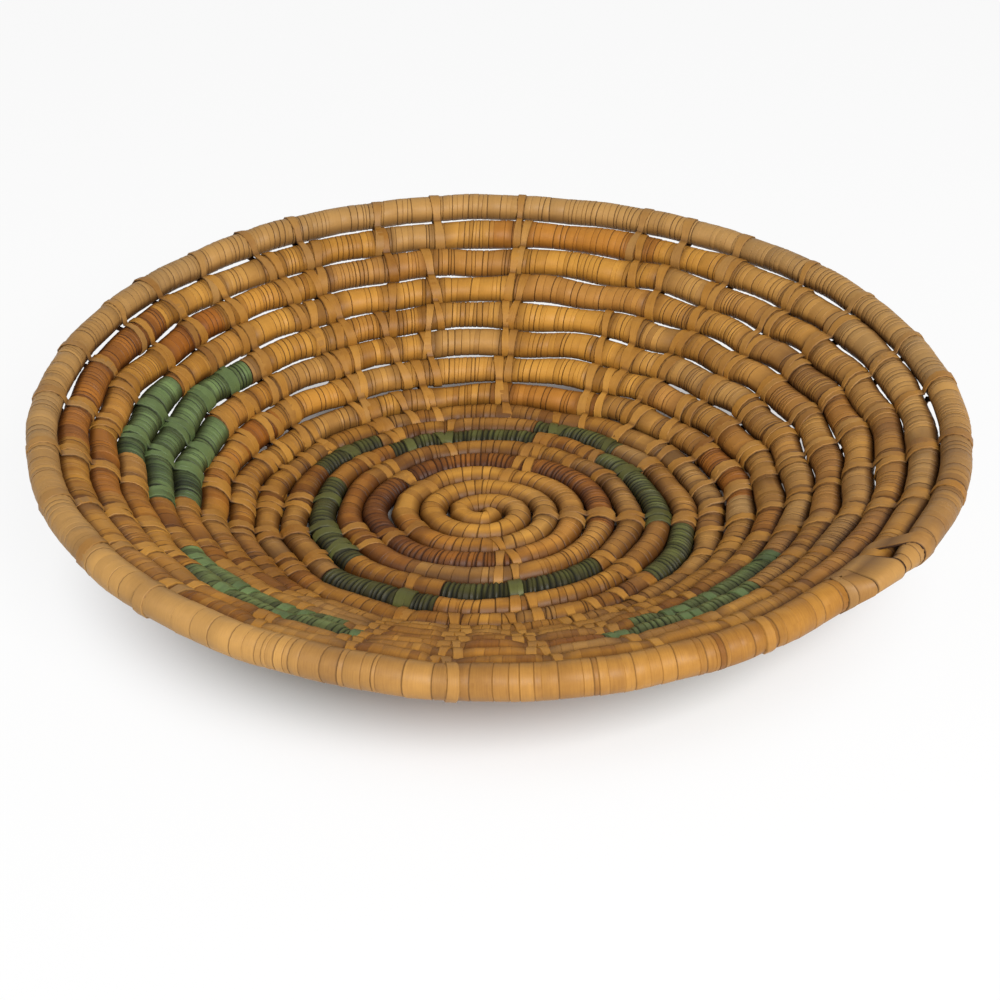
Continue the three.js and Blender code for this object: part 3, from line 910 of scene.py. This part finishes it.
# Part of these amounts is painted light and shade: the back is lighter, as the side that faces the light,
# and the front of the wall, the front right of the rim, the left of the base and the green rows on the left
# wall about 190 degrees are darker, as shaded sides.
BASE_SHADES = {
    "natural": ((BASE_LEFT, BASE_LEFT_SIDE),),
    "green": ((BASE_LEFT, BASE_LEFT_SIDE), (GREEN_BASE, ALL_ROUND), (0.22, GREEN_LIGHT_SIDE),
              (-0.4, GREEN_FRONT_SIDE)),
    "rust": ((BASE_LEFT, BASE_LEFT_SIDE), (-0.16, ALL_ROUND)),
    "rim": (),
}
WALL_SHADES = {
    "natural": ((0.29, BACK_SIDE), (-0.14, FRONT_SIDE)),
    "green": ((0.26, ALL_ROUND), (-0.3, GREEN_DARK_SIDE)),
    "rust": (),
    "rim": ((0.14, ALL_ROUND), (-0.28, RIM_RIGHT_FRONT), (0.2, BACK_SIDE), (0.16, RIM_RIGHT_SIDE)),
}


def shade_by_place(style, turn):
    in_base = sum(amount * in_sector(turn, sector) for amount, sector in BASE_SHADES[style])
    in_wall = sum(amount * in_sector(turn, sector) for amount, sector in WALL_SHADES[style])
    if style == "natural":
        in_base = in_base + blend(NATURAL_BASE, NATURAL_RING, ramp(turn, *NATURAL_RING_FROM))
    return blend(in_base, in_wall, wall_share(turn))


def draw_shades(style, starts, middles):
    """A tone for each turn, from the places along the coil of its start and of its middle."""
    drift = sum(np.sin(starts / length + phase) for length, phase in zip(TONE_LENGTHS, tone_phases))
    shade = MIDDLE_TONE + TONE_DRIFT * drift + rng.normal(0, TONES[style], len(starts))
    shade += shade_by_place(style, turn_of_arc(starts))
    if style in ("natural", "rim"):
        shade += stretch(middles, "tone") * (RIM_STRETCH_TONE if style == "rim" else 1)
    return shade


print("spreads of tone:", TONES)

# %% Stains and greys
TINTED = (
    (2, 62, 90, 0.5), (3, 142, 156, 0.85), (3, 184, 202, 0.65), (7, 146, 162, 0.8), (7, 165, 188, 0.5),
    (8, 59, 88, 0.5), (6, 196, 215, 0.35), (FOOT_ROW + 3, 150, 240, 0.5), (FOOT_ROW + 5, 190, 250, 0.4),
)
TINT_FADE = 0.004
GREEN_BASE_STAIN = 0.75
GREEN_FRONT_STAIN = 0.4
GREEN_STAINED_FRONT = (FRONT, 0.45, 0.75)
RIGHT_AGED = 0.3
AGED_RIGHT = (5, 0.55, 1.0)
RIM_AGED = 0.6
RIM_RIGHT_FRONT_AGED = 0.45
RIM_AGED_FROM = (1.05, 0.85)
AGED_MOST = 0.8


def tint_at(turn):
    """How far the strip has been tinted brown, on a few stretches that the picture shows."""
    tint = np.zeros(len(turn))
    for row, low, high, strength in TINTED:
        start, end = span(row, low, high)
        begun = ramp(turn, start - TINT_FADE, start + TINT_FADE)
        ended = ramp(turn, end - TINT_FADE, end + TINT_FADE)
        tint = np.maximum(tint, strength * begun * (1 - ended))
    return tint


def aged_at(turn):
    """How far the strip has greyed by its place: in the rim, and on the wall at the right."""
    rim_aged = RIM_AGED * blend(1, RIM_RIGHT_FRONT_AGED, in_sector(turn, RIM_RIGHT_FRONT))
    return blend(RIGHT_AGED * in_sector(turn, AGED_RIGHT), rim_aged, rim_share(turn, RIM_AGED_FROM))


def stain_and_age(style, starts, middles):
    """How far each turn is stained and how far it has greyed."""
    stain = np.zeros(len(starts))
    aged = np.zeros(len(starts))
    if style == "green":
        turn = turn_of_arc(starts)
        in_wall = GREEN_FRONT_STAIN * in_sector(turn, GREEN_STAINED_FRONT)
        stain = blend(GREEN_BASE_STAIN, in_wall, wall_share(turn))
    elif style in ("natural", "rim"):
        turn = turn_of_arc(middles)
        stain = np.maximum(tint_at(turn), stretch(middles, "stain") * (style != "rim"))
        aged = np.clip(stretch(middles, "aged") + aged_at(turn), 0, AGED_MOST) * (1 - stain)
    return stain, aged


print(len(TINTED), "stretches tinted by hand")

# %% [markdown]
# Painted shade darkens the strips low between the rows, in the creases beside a stitch, and in the hole by
# the tail. The outer side of the rim has no neighbour, so it gets none.

# %% Painted shade between the rows, in creases and in the hole
CREVICE_TO = 0.98
BASE_CREVICE_FROM = 0.12
EYE_CREVICE_FROM = 0.3
EYE_CREVICE_UNTIL = (3, 5)
WALL_CREVICE_FROM = {"natural": 0.62, "green": 0.3, "rust": 0.62, "rim": 0.62}
BACK_CREVICE = 0.45
CREVICES_AT_BACK = (BACK, 0.4, 0.9)
CREASE_SHADE = 0.65
TAIL_HOLE_SHADE_REACH = 3.6
TAIL_HOLE_SIDE = (-0.25, 0.25)
ROW_HOLE_SIDE = (-0.4, 0.3)


def crevice_and_hole_shade(style, turn, side):
    """Painted shade at each place, and that of the hole. Side is 1 away from the pole and -1 towards it."""
    in_wall = wall_share(turn)
    outermost = turn > END_TURN - 1 - TAIL_UNDER_BINDING
    beside = np.where(outermost, -side, np.abs(side))
    in_base = blend(EYE_CREVICE_FROM, BASE_CREVICE_FROM, ramp(turn, *EYE_CREVICE_UNTIL))
    crevice_shade = ramp(beside, blend(in_base, WALL_CREVICE_FROM[style], in_wall), CREVICE_TO)
    crevice_shade = crevice_shade * blend(1, BACK_CREVICE, in_sector(turn, CREVICES_AT_BACK) * in_wall)
    # Painted shade in the small hole by the tail, on the sides of the two rows that face it.
    hole = near_hole(turn, 1, TAIL_HOLE_SHADE_REACH) * ramp(-side, *TAIL_HOLE_SIDE)
    hole += near_hole(turn, 2, TAIL_HOLE_SHADE_REACH) * ramp(side, *ROW_HOLE_SIDE)
    # Painted shade in the creases beside a stitch, as far as the stitch grips the coil.
    crevice_shade = np.maximum(crevice_shade, CREASE_SHADE * grip_at(turn))
    return np.maximum(crevice_shade, hole), hole


print("creases beside stitches are", CREASE_SHADE, "dark")

# %% [markdown]
# ## Wrapping the coil
# Each run is now one mesh of bent copies. A turn leans a little, stands proud or lies low, and tips so that
# it overlaps the next. It has two maps: one with the fibres along the strip, and one laid out flat to bake.

# %% Map of a run for baking
LANE_HEIGHT = 34
MAP_MARGIN = 0.005
LANE_MARGIN = 0.02
LANES_TOP = 0.97
CAP_ROW = 0.985
CAP_RADIUS = 0.008
CAP_PLACES = (0.02, 0.05)


def bake_map(edges, shape):
    """A map with the run laid out flat in lanes, one turn beside the next, and its two ends in a corner."""
    count = len(edges) - 1
    lanes = max(round(math.sqrt((edges[-1] - edges[0]) / LANE_HEIGHT)), 1)
    lane = np.minimum(np.arange(count) * lanes // count, lanes - 1)
    starts = np.array([edges[np.flatnonzero(lane == n)[0]] for n in range(lanes)])
    ends = np.array([edges[np.flatnonzero(lane == n)[-1] + 1] for n in range(lanes)])
    widths = np.diff(edges)
    along = edges[:-1, None, None] + widths[:, None, None] * shape.corner_height[None]
    share = (along - starts[lane][:, None, None]) / (ends - starts)[lane][:, None, None]
    around = shape.corner_angle[None] / (2 * math.pi * (1 + 1 / AROUND)) + 0 * share
    flat_u = MAP_MARGIN + (1 - 2 * MAP_MARGIN) * share
    in_lane = LANE_MARGIN + (1 - 2 * LANE_MARGIN) * around
    flat_v = (lane[:, None, None] + in_lane) / lanes * LANES_TOP
    flat = np.stack([flat_u, flat_v], -1).reshape(-1, 2)
    angles = np.arange(AROUND) * 2 * math.pi / AROUND
    circle = CAP_RADIUS * np.stack([np.cos(angles), np.sin(angles)], -1)
    return np.concatenate([flat, *[circle + (place, CAP_ROW) for place in CAP_PLACES]])


print("a lane of a flat map stands for", LANE_HEIGHT, "mm round the coil")

# %% Wrap the runs
RUN_GAP = 0.05
STRENGTH = (2.5, 1.5)
STRENGTH_SCALE = 1.25
LEAN = 0.6
LEAN_SPREAD = 0.22
PROUD = 0.06
SHINGLE = 0.1
EDGE_BAND = (0.13, 0.24)
BANDS = {"natural": 1, "green": 1.6, "rust": 1.3, "rim": 1}
GRAIN_LENGTH = 400
END_SHADE = 0.3
SMOOTH_ANGLE = math.radians(30)

turn_height = turn_shape.height[None]
turn_right = turn_height > 0.5
turn_drawn_in = (turn_shape.radius < (1 + DRAWN_IN) / 2)[None]
turn_side = np.cos(turn_shape.angle)[None]
turn_up = np.sin(turn_shape.angle)[None]


def by_edge(values):
    """Values for the edges of the turns, handed to the points of each turn: left half and right half."""
    return np.where(turn_right, values[1:, None], values[:-1, None])


def bend_turns(edges, band, lean, lift, groove):
    """Where the points of the turns lie: their turn on the coil, their places and the coil's mean girth."""
    inset = by_edge(band) * ~turn_drawn_in
    along = by_edge(edges) + np.where(turn_right, -inset, inset)
    leaning = lean[:-1, None] * (1 - turn_height) + lean[1:, None] * turn_height
    turn = turn_of_arc(along + leaning * turn_side)
    out = np.where(turn_drawn_in, -by_edge(groove), lift)
    middle, across, upward, wide, tall = coil_surface(turn)
    points = middle + ((wide + out) * turn_side)[..., None] * across
    points += ((tall + out) * turn_up)[..., None] * upward
    return turn, points, math.pi * (wide.mean() + tall.mean())


def run_faces(count):
    """The faces of all the turns of a run, and one to close each end."""
    by_angle = np.argsort(turn_shape.angle)
    first_ring = [i for i in by_angle if turn_shape.height[i] < SHOULDER / 2]
    last_ring = [i for i in by_angle if turn_shape.height[i] > 1 - SHOULDER / 2]
    last_turn = (count - 1) * len(turn_shape.angle)
    return turn_shape.copies(count) + [first_ring[::-1], [i + last_turn for i in last_ring]]


def wrap_run(name, start, end):
    shape = turn_shape
    colour = name.split("_")[1]
    style = "rim" if colour == "natural" and start > END_TURN - 2 else colour
    low = arc_at(start) + RUN_GAP
    widths = draw_widths(low, arc_at(end) - RUN_GAP, style)
    count = len(widths)
    edges = np.concatenate([[low], low + np.cumsum(widths)])
    starts = edges[:-1]
    middles = starts + widths / 2
    edge_turns = turn_of_arc(edges)
    strength = np.clip(rng.beta(*STRENGTH, count + 1) * STRENGTH_SCALE, 0, 1)
    groove, line = grooves_and_lines(style, edge_turns, strength)
    lean = LEAN + rng.normal(0, LEAN_SPREAD, count + 1)
    lean[[0, -1]] = LEAN
    proud = rng.uniform(-PROUD, PROUD, count)
    shingle = rng.normal(0.5 * SHINGLE, SHINGLE, count)
    shade = draw_shades(style, starts, middles)
    stain, aged = stain_and_age(style, starts, middles)

    lift = proud[:, None] + shingle[:, None] * (turn_height - 0.5)
    band = (EDGE_BAND[0] + EDGE_BAND[1] * strength ** 2) * base_relief(style, edge_turns) * BANDS[style]
    turn, points, girth = bend_turns(edges, band, lean, lift, groove)
    piece = new_piece(name + "_strips", points, run_faces(count), [strips[colour]])
    for attribute, values, on_ends in (("shade", shade, END_SHADE), ("stain", stain, 0), ("aged", aged, 0)):
        set_attribute(piece, attribute, "FACE", np.append(shape.each_face(values), [on_ends, on_ends]))
    # Painted shade between the rows, in creases and in the hole by the tail; the hole's shade also darkens
    # the lines round it.
    crevice_shade, hole = crevice_and_hole_shade(style, turn, turn_side)
    set_attribute(piece, "line", "POINT", np.maximum(by_edge(line) * turn_drawn_in, hole ** 2))
    set_attribute(piece, "crevice_shade", "POINT", crevice_shade)

    leaf_starts = rng.uniform(0, GRAIN_LENGTH, count)[:, None, None]
    along_strip = shape.corner_angle[None] / (2 * math.pi) * girth + leaf_starts
    across_strip = shape.corner_height[None] * widths[:, None, None]
    grain = np.stack([along_strip, across_strip], -1).reshape(-1, 2)
    set_map(piece, "strip", np.concatenate([grain, np.zeros((2 * AROUND, 2))]))
    set_map(piece, "OFBake", bake_map(edges, shape))
    weld_and_smooth(piece, SMOOTH_ANGLE)
    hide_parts(name)
    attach(piece, "root")
    return count


turn_count = sum(wrap_run(*run) for run in runs)
print(turn_count, "turns of strip")

# %% [markdown]
# ## Long stitches
# A long stitch is a strip that goes once round two neighbouring rows. It starts as a ring with four sides,
# and each copy is laid round its pair of rows: over the crest of one, down towards the slit, and over the
# next, a little aslant. The four sides become a flat top, an underside and two edges that slope down, with
# painted shade on the sloping edges and where the stitch dips into the slit.

# %% Model one stitch
STATIONS = 22
STRIP_SIDES = 4

bpy.ops.object.select_all(action="DESELECT")
bpy.ops.mesh.primitive_torus_add(major_segments=STATIONS, minor_segments=STRIP_SIDES, major_radius=1,
                                 minor_radius=0.25)
stitch_master = bpy.context.object
stitch_master.name = "long_stitch"
stitch_shape = Master(stitch_master)
stitch_station = np.round(stitch_shape.angle / (2 * math.pi) * STATIONS).astype(int) % STATIONS
stitch_side = np.round(stitch_shape.section / (2 * math.pi) * STRIP_SIDES).astype(int) % STRIP_SIDES
print("one stitch has", len(stitch_shape.faces), "faces")

# %% Lay a stitch round two rows
STITCH_WAIST = 0.74
STITCH_WAIST_FROM = (1.4, 2.4)
STITCH_CLEARANCE = 0.5
STITCH_REACH = math.radians(138)
WAIST_DIP = (0.5, 0.7)
SIDE_ACROSS = np.array([0.86, 1.1, -1.1, -0.86])
SIDE_OUT = np.array([0.1, -0.55, -0.55, 0.1])


def pair_of_rows(turn):
    """The two rows that a stitch grips, and the directions from one to the other and up out of them."""
    outer = coil_surface(turn)
    inner = coil_surface(turn - 1)
    apart = outer[0] - inner[0]
    apart = apart / np.linalg.norm(apart)
    up = outer[2] + inner[2]
    up = up - apart * (up @ apart)
    return outer, inner, apart, up / np.linalg.norm(up)


def round_row(row, angle, apart, up, clearance):
    wide = row[3] + clearance
    tall = row[4] + clearance
    return row[0] + wide * math.cos(angle) * apart + tall * math.sin(angle) * up


def loop_round(rows, dip, clearance, reaches):
    """A loop that dips between the rows on both sides: places, outward directions and widths."""
    outer, inner, apart, up = rows
    middle = (outer[0] + inner[0]) / 2
    waist = (outer[4] + inner[4]) / 2 * (1 - dip) + clearance
    places, outwards, widths = [], [], []
    for row, turned, side, reach in zip((outer, inner), (0, math.pi), (1, -1), reaches):
        for angle in np.linspace(-reach, reach, STATIONS // 2 - 1):
            places.append(round_row(row, angle + turned, apart, up, clearance))
            outwards.append(math.cos(angle + turned) * apart + math.sin(angle + turned) * up)
            widths.append(1 - (1 - STITCH_WAIST) * ramp(abs(angle), *STITCH_WAIST_FROM))
        places.append(middle + side * waist * up)
        outwards.append(side * up)
        widths.append(STITCH_WAIST)
    return np.array(places), np.array(outwards), np.array(widths), apart, up


def lay_stitch(turn, width, slant):
    """The points of one stitch, each side of the strip at its station on the loop."""
    reaches = (STITCH_REACH, STITCH_REACH)
    loop = loop_round(pair_of_rows(turn), rng.uniform(*WAIST_DIP), STITCH_CLEARANCE, reaches)
    places, outwards, widths, apart, up = loop
    along = np.cross(apart, up)
    reach = (places - places.mean(0)) @ apart
    aslant = slant * reach / np.abs(reach).max()
    across = SIDE_ACROSS[stitch_side] * width / 2 * widths[stitch_station] + aslant[stitch_station]
    out = SIDE_OUT[stitch_side]
    return places[stitch_station] + out[:, None] * outwards[stitch_station] + across[:, None] * along


print("a stitch stands", STITCH_CLEARANCE, "mm clear of its rows")

# %% [markdown]
# A stitch takes the colour of the row that it lies on, so one that joins a green row to a natural row
# changes halfway. All the stitches of a column are one mesh.

# %% Sew the columns
STITCH_WIDTH = (3.4, 5.0)
STITCH_SLANT = (1.5, 0.6)
STITCH_SHADE = (0.48, 0.1)
STITCH_AGED = 0.6
STITCH_AGED_SPREAD = 0.1
STITCH_SMOOTH = math.radians(38)
STITCH_LENGTH = 58
STITCH_SLIT_SHADE = 0.7
STITCH_LANE_MARGIN = 0.03
GREEN_STITCHES = 0.2
BASE_STITCHES = -0.14
FRONT_STITCH_LINES = 0.4
# The sloping edges of a stitch are painted dark towards their foot, as their shade.
SIDE_LINE = np.array([0, 1, 1, 0])


def green_faces(turns):
    """Which faces of the stitches lie on a green row."""
    on_outer = stitch_station[stitch_shape.faces].max(1) < STATIONS // 2
    green = []
    for turn in turns:
        green.append(np.where(on_outer, colour_at(turn) == "green", colour_at(turn - 1) == "green"))
    return np.concatenate(green)


def map_stitches(piece, widths):
    shape = stitch_shape
    count = len(widths)
    lengths = shape.corner_angle / (2 * math.pi) * STITCH_LENGTH
    across = SIDE_ACROSS[stitch_side][shape.faces]
    flat_u = shape.corner_angle / (2 * math.pi * (1 + 1 / STATIONS))
    flat_v = shape.corner_section / (2 * math.pi * (1 + 1 / STRIP_SIDES))
    in_lane = STITCH_LANE_MARGIN + (1 - 2 * STITCH_LANE_MARGIN) * flat_v
    grain, flat = [], []
    for lane, width in enumerate(widths):
        grain.append(np.stack([lengths + rng.uniform(0, GRAIN_LENGTH), across * width / 2], -1))
        flat.append(np.stack([flat_u, (lane + in_lane) / count], -1))
    set_map(piece, "strip", np.array(grain))
    set_map(piece, "OFBake", np.array(flat))


def sew(name, turns, points, widths, shades, aged=0.0, edge_line=1.0):
    """One mesh with all the stitches of a column, each a bent copy of the modelled ring."""
    shape = stitch_shape
    turns = np.array(turns)
    count = len(turns)
    faces = shape.copies(count)
    piece = new_piece(name, np.array(points), faces, [strips["lashing"], strips["green"]])
    green = green_faces(turns)
    piece.data.polygons.foreach_set("material_index", green.astype(np.int32))
    in_wall = wall_share(turns)
    in_base = shape.each_face(1 - in_wall)
    by_place = blend(GREEN_STITCHES * green, np.where(green, GREEN_BASE, BASE_STITCHES), in_base)
    aged = aged + STITCH_AGED * aged_at(turns) + rng.normal(0, STITCH_AGED_SPREAD, count)
    aged = np.clip(aged, 0, AGED_MOST)
    set_attribute(piece, "shade", "FACE", shape.each_face(shades) + by_place)
    set_attribute(piece, "aged", "FACE", shape.each_face(aged) * ~green)
    set_attribute(piece, "stain", "FACE", GREEN_BASE_STAIN * in_base * green)
    edge_line = edge_line * blend(1, FRONT_STITCH_LINES, in_sector(turns, FRONT_WALL) * in_wall)
    set_attribute(piece, "line", "POINT", edge_line[:, None] * SIDE_LINE[stitch_side][None])
    # Painted shade where the stitch dips into the slit between the rows.
    in_slit = np.isin(stitch_station, (STATIONS // 2 - 1, STATIONS - 1))
    set_attribute(piece, "crevice_shade", "POINT", np.tile(STITCH_SLIT_SHADE * in_slit, count))
    map_stitches(piece, widths)
    weld_and_smooth(piece, STITCH_SMOOTH)
    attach(piece, "root")
    return piece


for name, turns in columns.items():
    count = len(turns)
    widths = rng.uniform(*STITCH_WIDTH, count)
    slants = rng.normal(*STITCH_SLANT, count) * rng.choice((-1, 1), count)
    points = [lay_stitch(*stitch) for stitch in zip(turns, widths, slants)]
    shades = rng.normal(*STITCH_SHADE, count)
    in_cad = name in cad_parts
    piece = sew(name + "_strips" if in_cad else name, turns, points, widths, shades)
    if in_cad:
        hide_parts(name)
print(len(columns), "columns sewn")

# %% [markdown]
# ## The bound tail
# The end of the coil is thinned out and laid against the row before it. Three wide strips go tightly round
# both and close on that row alone past the tail's end, and one narrow strip crosses beside them, aslant.

# %% Bind the tail
BINDING_EDGES = (-39.5, -44, -45.9, -46.8)
CLOSES_AT = (-44.2, -47.1)
BINDING_SHINGLE = 0.18
BINDING_CLEARANCE = 0.3
CLOSED_CLEARANCE = 0.2
STEEPEST_TANGENT = 0.7
BINDING_SHADE = (0.42, 0.08)
BINDING_WIDTH = 6.0
BINDING_AGED = 0.3
BINDING_LINE = 1.9
CROSSING_AT = -36.3
CROSSING_WIDTH = 2.2
CROSSING_SLANT = 1.9


def binding_loop(degrees):
    """A loop round the tail and the row before it, which closes on that row alone past the tail's end."""
    outer, inner, apart, up = pair_of_rows(END_TURN - (degrees - TAIL_ANGLE) / 360)
    thinner = (inner[4] - outer[4]) / np.linalg.norm(outer[0] - inner[0])
    tangent = math.asin(np.clip(thinner, 0, STEEPEST_TANGENT))
    share = ramp(-degrees, -CLOSES_AT[0], -CLOSES_AT[1])
    outer = [blend(tail, row, share) for tail, row in zip(outer, inner)]
    clearance = blend(BINDING_CLEARANCE, CLOSED_CLEARANCE, share)
    reaches = (math.pi / 2 - tangent, math.pi / 2 + tangent)
    return loop_round((outer, inner, apart, up), 1 - 1 / math.cos(tangent), clearance, reaches)


def crossing_loop(degrees):
    """A loop like that, but aslant: each station is taken from a direction of its own."""
    straight = binding_loop(degrees)
    reach = (straight[0] - straight[0].mean(0)) @ straight[3]
    aslant = degrees + CROSSING_SLANT * reach / np.abs(reach).max()
    loops = [binding_loop(turned) for turned in aslant]
    places = np.array([loop[0][station] for station, loop in enumerate(loops)])
    return places, straight[1]


def lay_binding(first, second):
    """A wide strip from one loop to another, so that it follows a coil that grows thinner."""
    share = (SIDE_ACROSS[stitch_side] + 1) / 2
    places = blend(first[0][stitch_station], second[0][stitch_station], share[:, None])
    out = SIDE_OUT[stitch_side] + BINDING_SHINGLE * share
    return places + out[:, None] * first[1][stitch_station]


binding_loops = [binding_loop(degrees) for degrees in BINDING_EDGES]
points = [lay_binding(second, first) for first, second in zip(binding_loops[:-1], binding_loops[1:])]
points.append(lay_binding(*[crossing_loop(CROSSING_AT + side * CROSSING_WIDTH / 2) for side in (-1, 1)]))
count = len(points)
binding_turns = [turn_at(1, degrees) for degrees in BINDING_EDGES[:-2]]
binding_turns += [END_TURN, turn_at(1, CROSSING_AT)]
sew("stitches_tail_binding", binding_turns, points, np.full(count, BINDING_WIDTH),
    rng.normal(*BINDING_SHADE, count), BINDING_AGED, BINDING_LINE)
print(count, "strips bind the tail")

# %% [markdown]
# ## The grass inside
# The strips hide the bundle, so a plain one will do: seven stems, each a thin tube with five sides, twisted
# together along the coil in one mesh. They are slimmer in the first loops, where the coil bends most.

# %% Grass as a material
GRASS_DARK = (140, 112, 60)
GRASS_LIGHT = (206, 178, 120)
GRASS_STREAKS = 700.0
GRASS_DETAIL = 4.0
GRASS_BUMP = 0.6
GRASS_ROUGHNESS = 0.8


def grass_material():
    material = bpy.data.materials.new("grass_bundle")
    material.use_nodes = True
    nodes = Nodes(material.node_tree)
    place = nodes.add("ShaderNodeTexCoord").outputs["Object"]
    streaks = nodes.noise(place, GRASS_STREAKS, GRASS_DETAIL)
    relief = {"Strength": GRASS_BUMP, "Distance": FIBRE_RELIEF, "Height": streaks}
    bump = nodes.add("ShaderNodeBump", relief)
    shader = material.node_tree.nodes["Principled BSDF"]
    nodes.give(shader.inputs["Roughness"], GRASS_ROUGHNESS)
    nodes.give(shader.inputs["Base Color"], nodes.mix(streaks, linear(*GRASS_DARK), linear(*GRASS_LIGHT)))
    nodes.give(shader.inputs["Normal"], bump.outputs["Normal"])
    return material


grass = grass_material()
print("material", grass.name)

# %% Grass bundle
STEMS = 7
STEM_RING = 0.52
STEM_RADIUS = 0.24
STEM_TWIST = 1.7
STEM_STEPS_PER_TURN = 54
STEM_SIDES = 5
STEM_END_GAP = 0.02
STEM_SMOOTH = math.radians(80)
EYE_STEMS = 0.5
EYE_STEMS_UNTIL = (1, 3)


def stem_faces(first, steps):
    """The faces of one stem: four-sided round its length, and one to close each end."""
    faces = []
    for step in range(steps - 1):
        here = first + step * STEM_SIDES
        ahead = here + STEM_SIDES
        for side in range(STEM_SIDES):
            beside = (side + 1) % STEM_SIDES
            faces.append((here + side, here + beside, ahead + beside, ahead + side))
    for end in (first, first + (steps - 1) * STEM_SIDES):
        faces.append(tuple(end + side for side in range(STEM_SIDES)))
    return faces


def grass_bundle():
    steps = int((END_TURN - START_TURN) * STEM_STEPS_PER_TURN)
    turn = np.linspace(START_TURN + STEM_END_GAP, END_TURN - STEM_END_GAP, steps)
    middle, across, upward, wide, tall = coil_surface(turn)
    slimmer = blend(EYE_STEMS, 1, ramp(turn, *EYE_STEMS_UNTIL))
    wide = (wide * slimmer)[:, None]
    tall = (tall * slimmer)[:, None]
    around = 2 * math.pi * np.arange(STEM_SIDES) / STEM_SIDES
    points, faces = [], []
    for stem in range(STEMS):
        angle = (2 * math.pi * stem / (STEMS - 1) + STEM_TWIST * turn)[:, None]
        ring = STEM_RING if stem < STEMS - 1 else 0
        sideways = wide * (ring * np.cos(angle) + STEM_RADIUS * np.cos(around))
        rise = tall * (ring * np.sin(angle) + STEM_RADIUS * np.sin(around))
        faces += stem_faces(stem * steps * STEM_SIDES, steps)
        moved = middle[:, None] + sideways[..., None] * across[:, None]
        points.append(moved + rise[..., None] * upward[:, None])
    piece = new_piece("foundation_coil_grass", np.array(points), faces, [grass])
    weld_and_smooth(piece, STEM_SMOOTH)
    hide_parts("foundation_coil")
    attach(piece, "root")


grass_bundle()
print(STEMS, "stems of grass")

# %% [markdown]
# ## Floor and light
# The floor is pale and plain. The camera sees it nearly white, with a soft shadow under the basket that
# fades out round it. The light is a large soft lamp above the front, a weaker one at the left and an even
# sky.

# %% Floor
FLOOR_SIZE = 8
FLOOR_COLOUR = (0.86, 0.86, 0.86, 1)
FLOOR_ROUGHNESS = 0.9
SHADOW_UNDER = 1
SHADOW_AROUND = 0.1
SHADOW_REACH = (0.11, 0.18)


def camera_share(nodes):
    """1 for rays that show the background: from the camera, by reflection or through glass."""
    path = nodes.add("ShaderNodeLightPath").outputs
    seen = nodes.math("ADD", path["Is Camera Ray"], path["Is Glossy Ray"])
    return nodes.math("ADD", seen, path["Is Transmission Ray"], clamp=True)


def floor_material():
    material = bpy.data.materials.new("pale_floor")
    material.use_nodes = True
    nodes = Nodes(material.node_tree)
    shader = material.node_tree.nodes["Principled BSDF"]
    nodes.give(shader.inputs["Base Color"], FLOOR_COLOUR)
    nodes.give(shader.inputs["Roughness"], FLOOR_ROUGHNESS)
    nodes.give(shader.inputs["Specular IOR Level"], 0)
    white = nodes.add("ShaderNodeEmission", {"Strength": 1.0})
    place = nodes.add("ShaderNodeTexCoord").outputs["Object"]
    from_middle = nodes.add("ShaderNodeVectorMath", {0: place}, operation="LENGTH").outputs["Value"]
    limits = {"Value": from_middle, "From Min": SHADOW_REACH[0], "From Max": SHADOW_REACH[1],
              "To Min": 1 - SHADOW_UNDER, "To Max": 1 - SHADOW_AROUND}
    fade = nodes.add("ShaderNodeMapRange", limits, interpolation_type="SMOOTHSTEP").outputs["Result"]
    share = nodes.math("MULTIPLY", camera_share(nodes), fade)
    mixed = nodes.add("ShaderNodeMixShader", {0: share, 1: shader.outputs[0], 2: white.outputs[0]})
    nodes.give(material.node_tree.nodes["Material Output"].inputs["Surface"], mixed.outputs[0])
    return material


bpy.ops.object.select_all(action="DESELECT")
bpy.ops.mesh.primitive_plane_add(size=FLOOR_SIZE, location=(0, 0, 0))
floor = bpy.context.object
floor.name = "floor"
floor.data.materials.append(floor_material())
print("floor of", FLOOR_SIZE, "m")

# %% Sky and lamps
SKY = 0.22
LAMP_AIM = (0, 0, 0.03)
LAMPS = (
    ("key_lamp", (0.5, -1.15, 1.0), 0.7, 29),
    ("fill_lamp", (-0.9, -0.8, 0.9), 1.0, 4),
)


def soft_lamp(name, place, size, power):
    bpy.ops.object.light_add(type="AREA", location=place)
    lamp = bpy.context.object
    lamp.name = name
    lamp.data.size = size
    lamp.data.energy = power
    direction = Vector(LAMP_AIM) - Vector(place)
    lamp.rotation_euler = direction.to_track_quat("-Z", "Y").to_euler()


world = bpy.context.scene.world or bpy.data.worlds.new("sky")
bpy.context.scene.world = world
world.use_nodes = True
sky_nodes = Nodes(world.node_tree)
sky = world.node_tree.nodes["Background"]
sky.inputs["Color"].default_value = (1, 1, 1, 1)
sky.inputs["Strength"].default_value = SKY
backdrop = sky_nodes.add("ShaderNodeBackground", {"Strength": 1.0})
seen_sky = sky_nodes.add("ShaderNodeMixShader",
                         {0: camera_share(sky_nodes), 1: sky.outputs[0], 2: backdrop.outputs[0]})
sky_nodes.give(world.node_tree.nodes["World Output"].inputs["Surface"], seen_sky.outputs[0])
for lamp in LAMPS:
    soft_lamp(*lamp)
bpy.context.scene.view_settings.view_transform = "Standard"
print("an even sky and", len(LAMPS), "lamps")
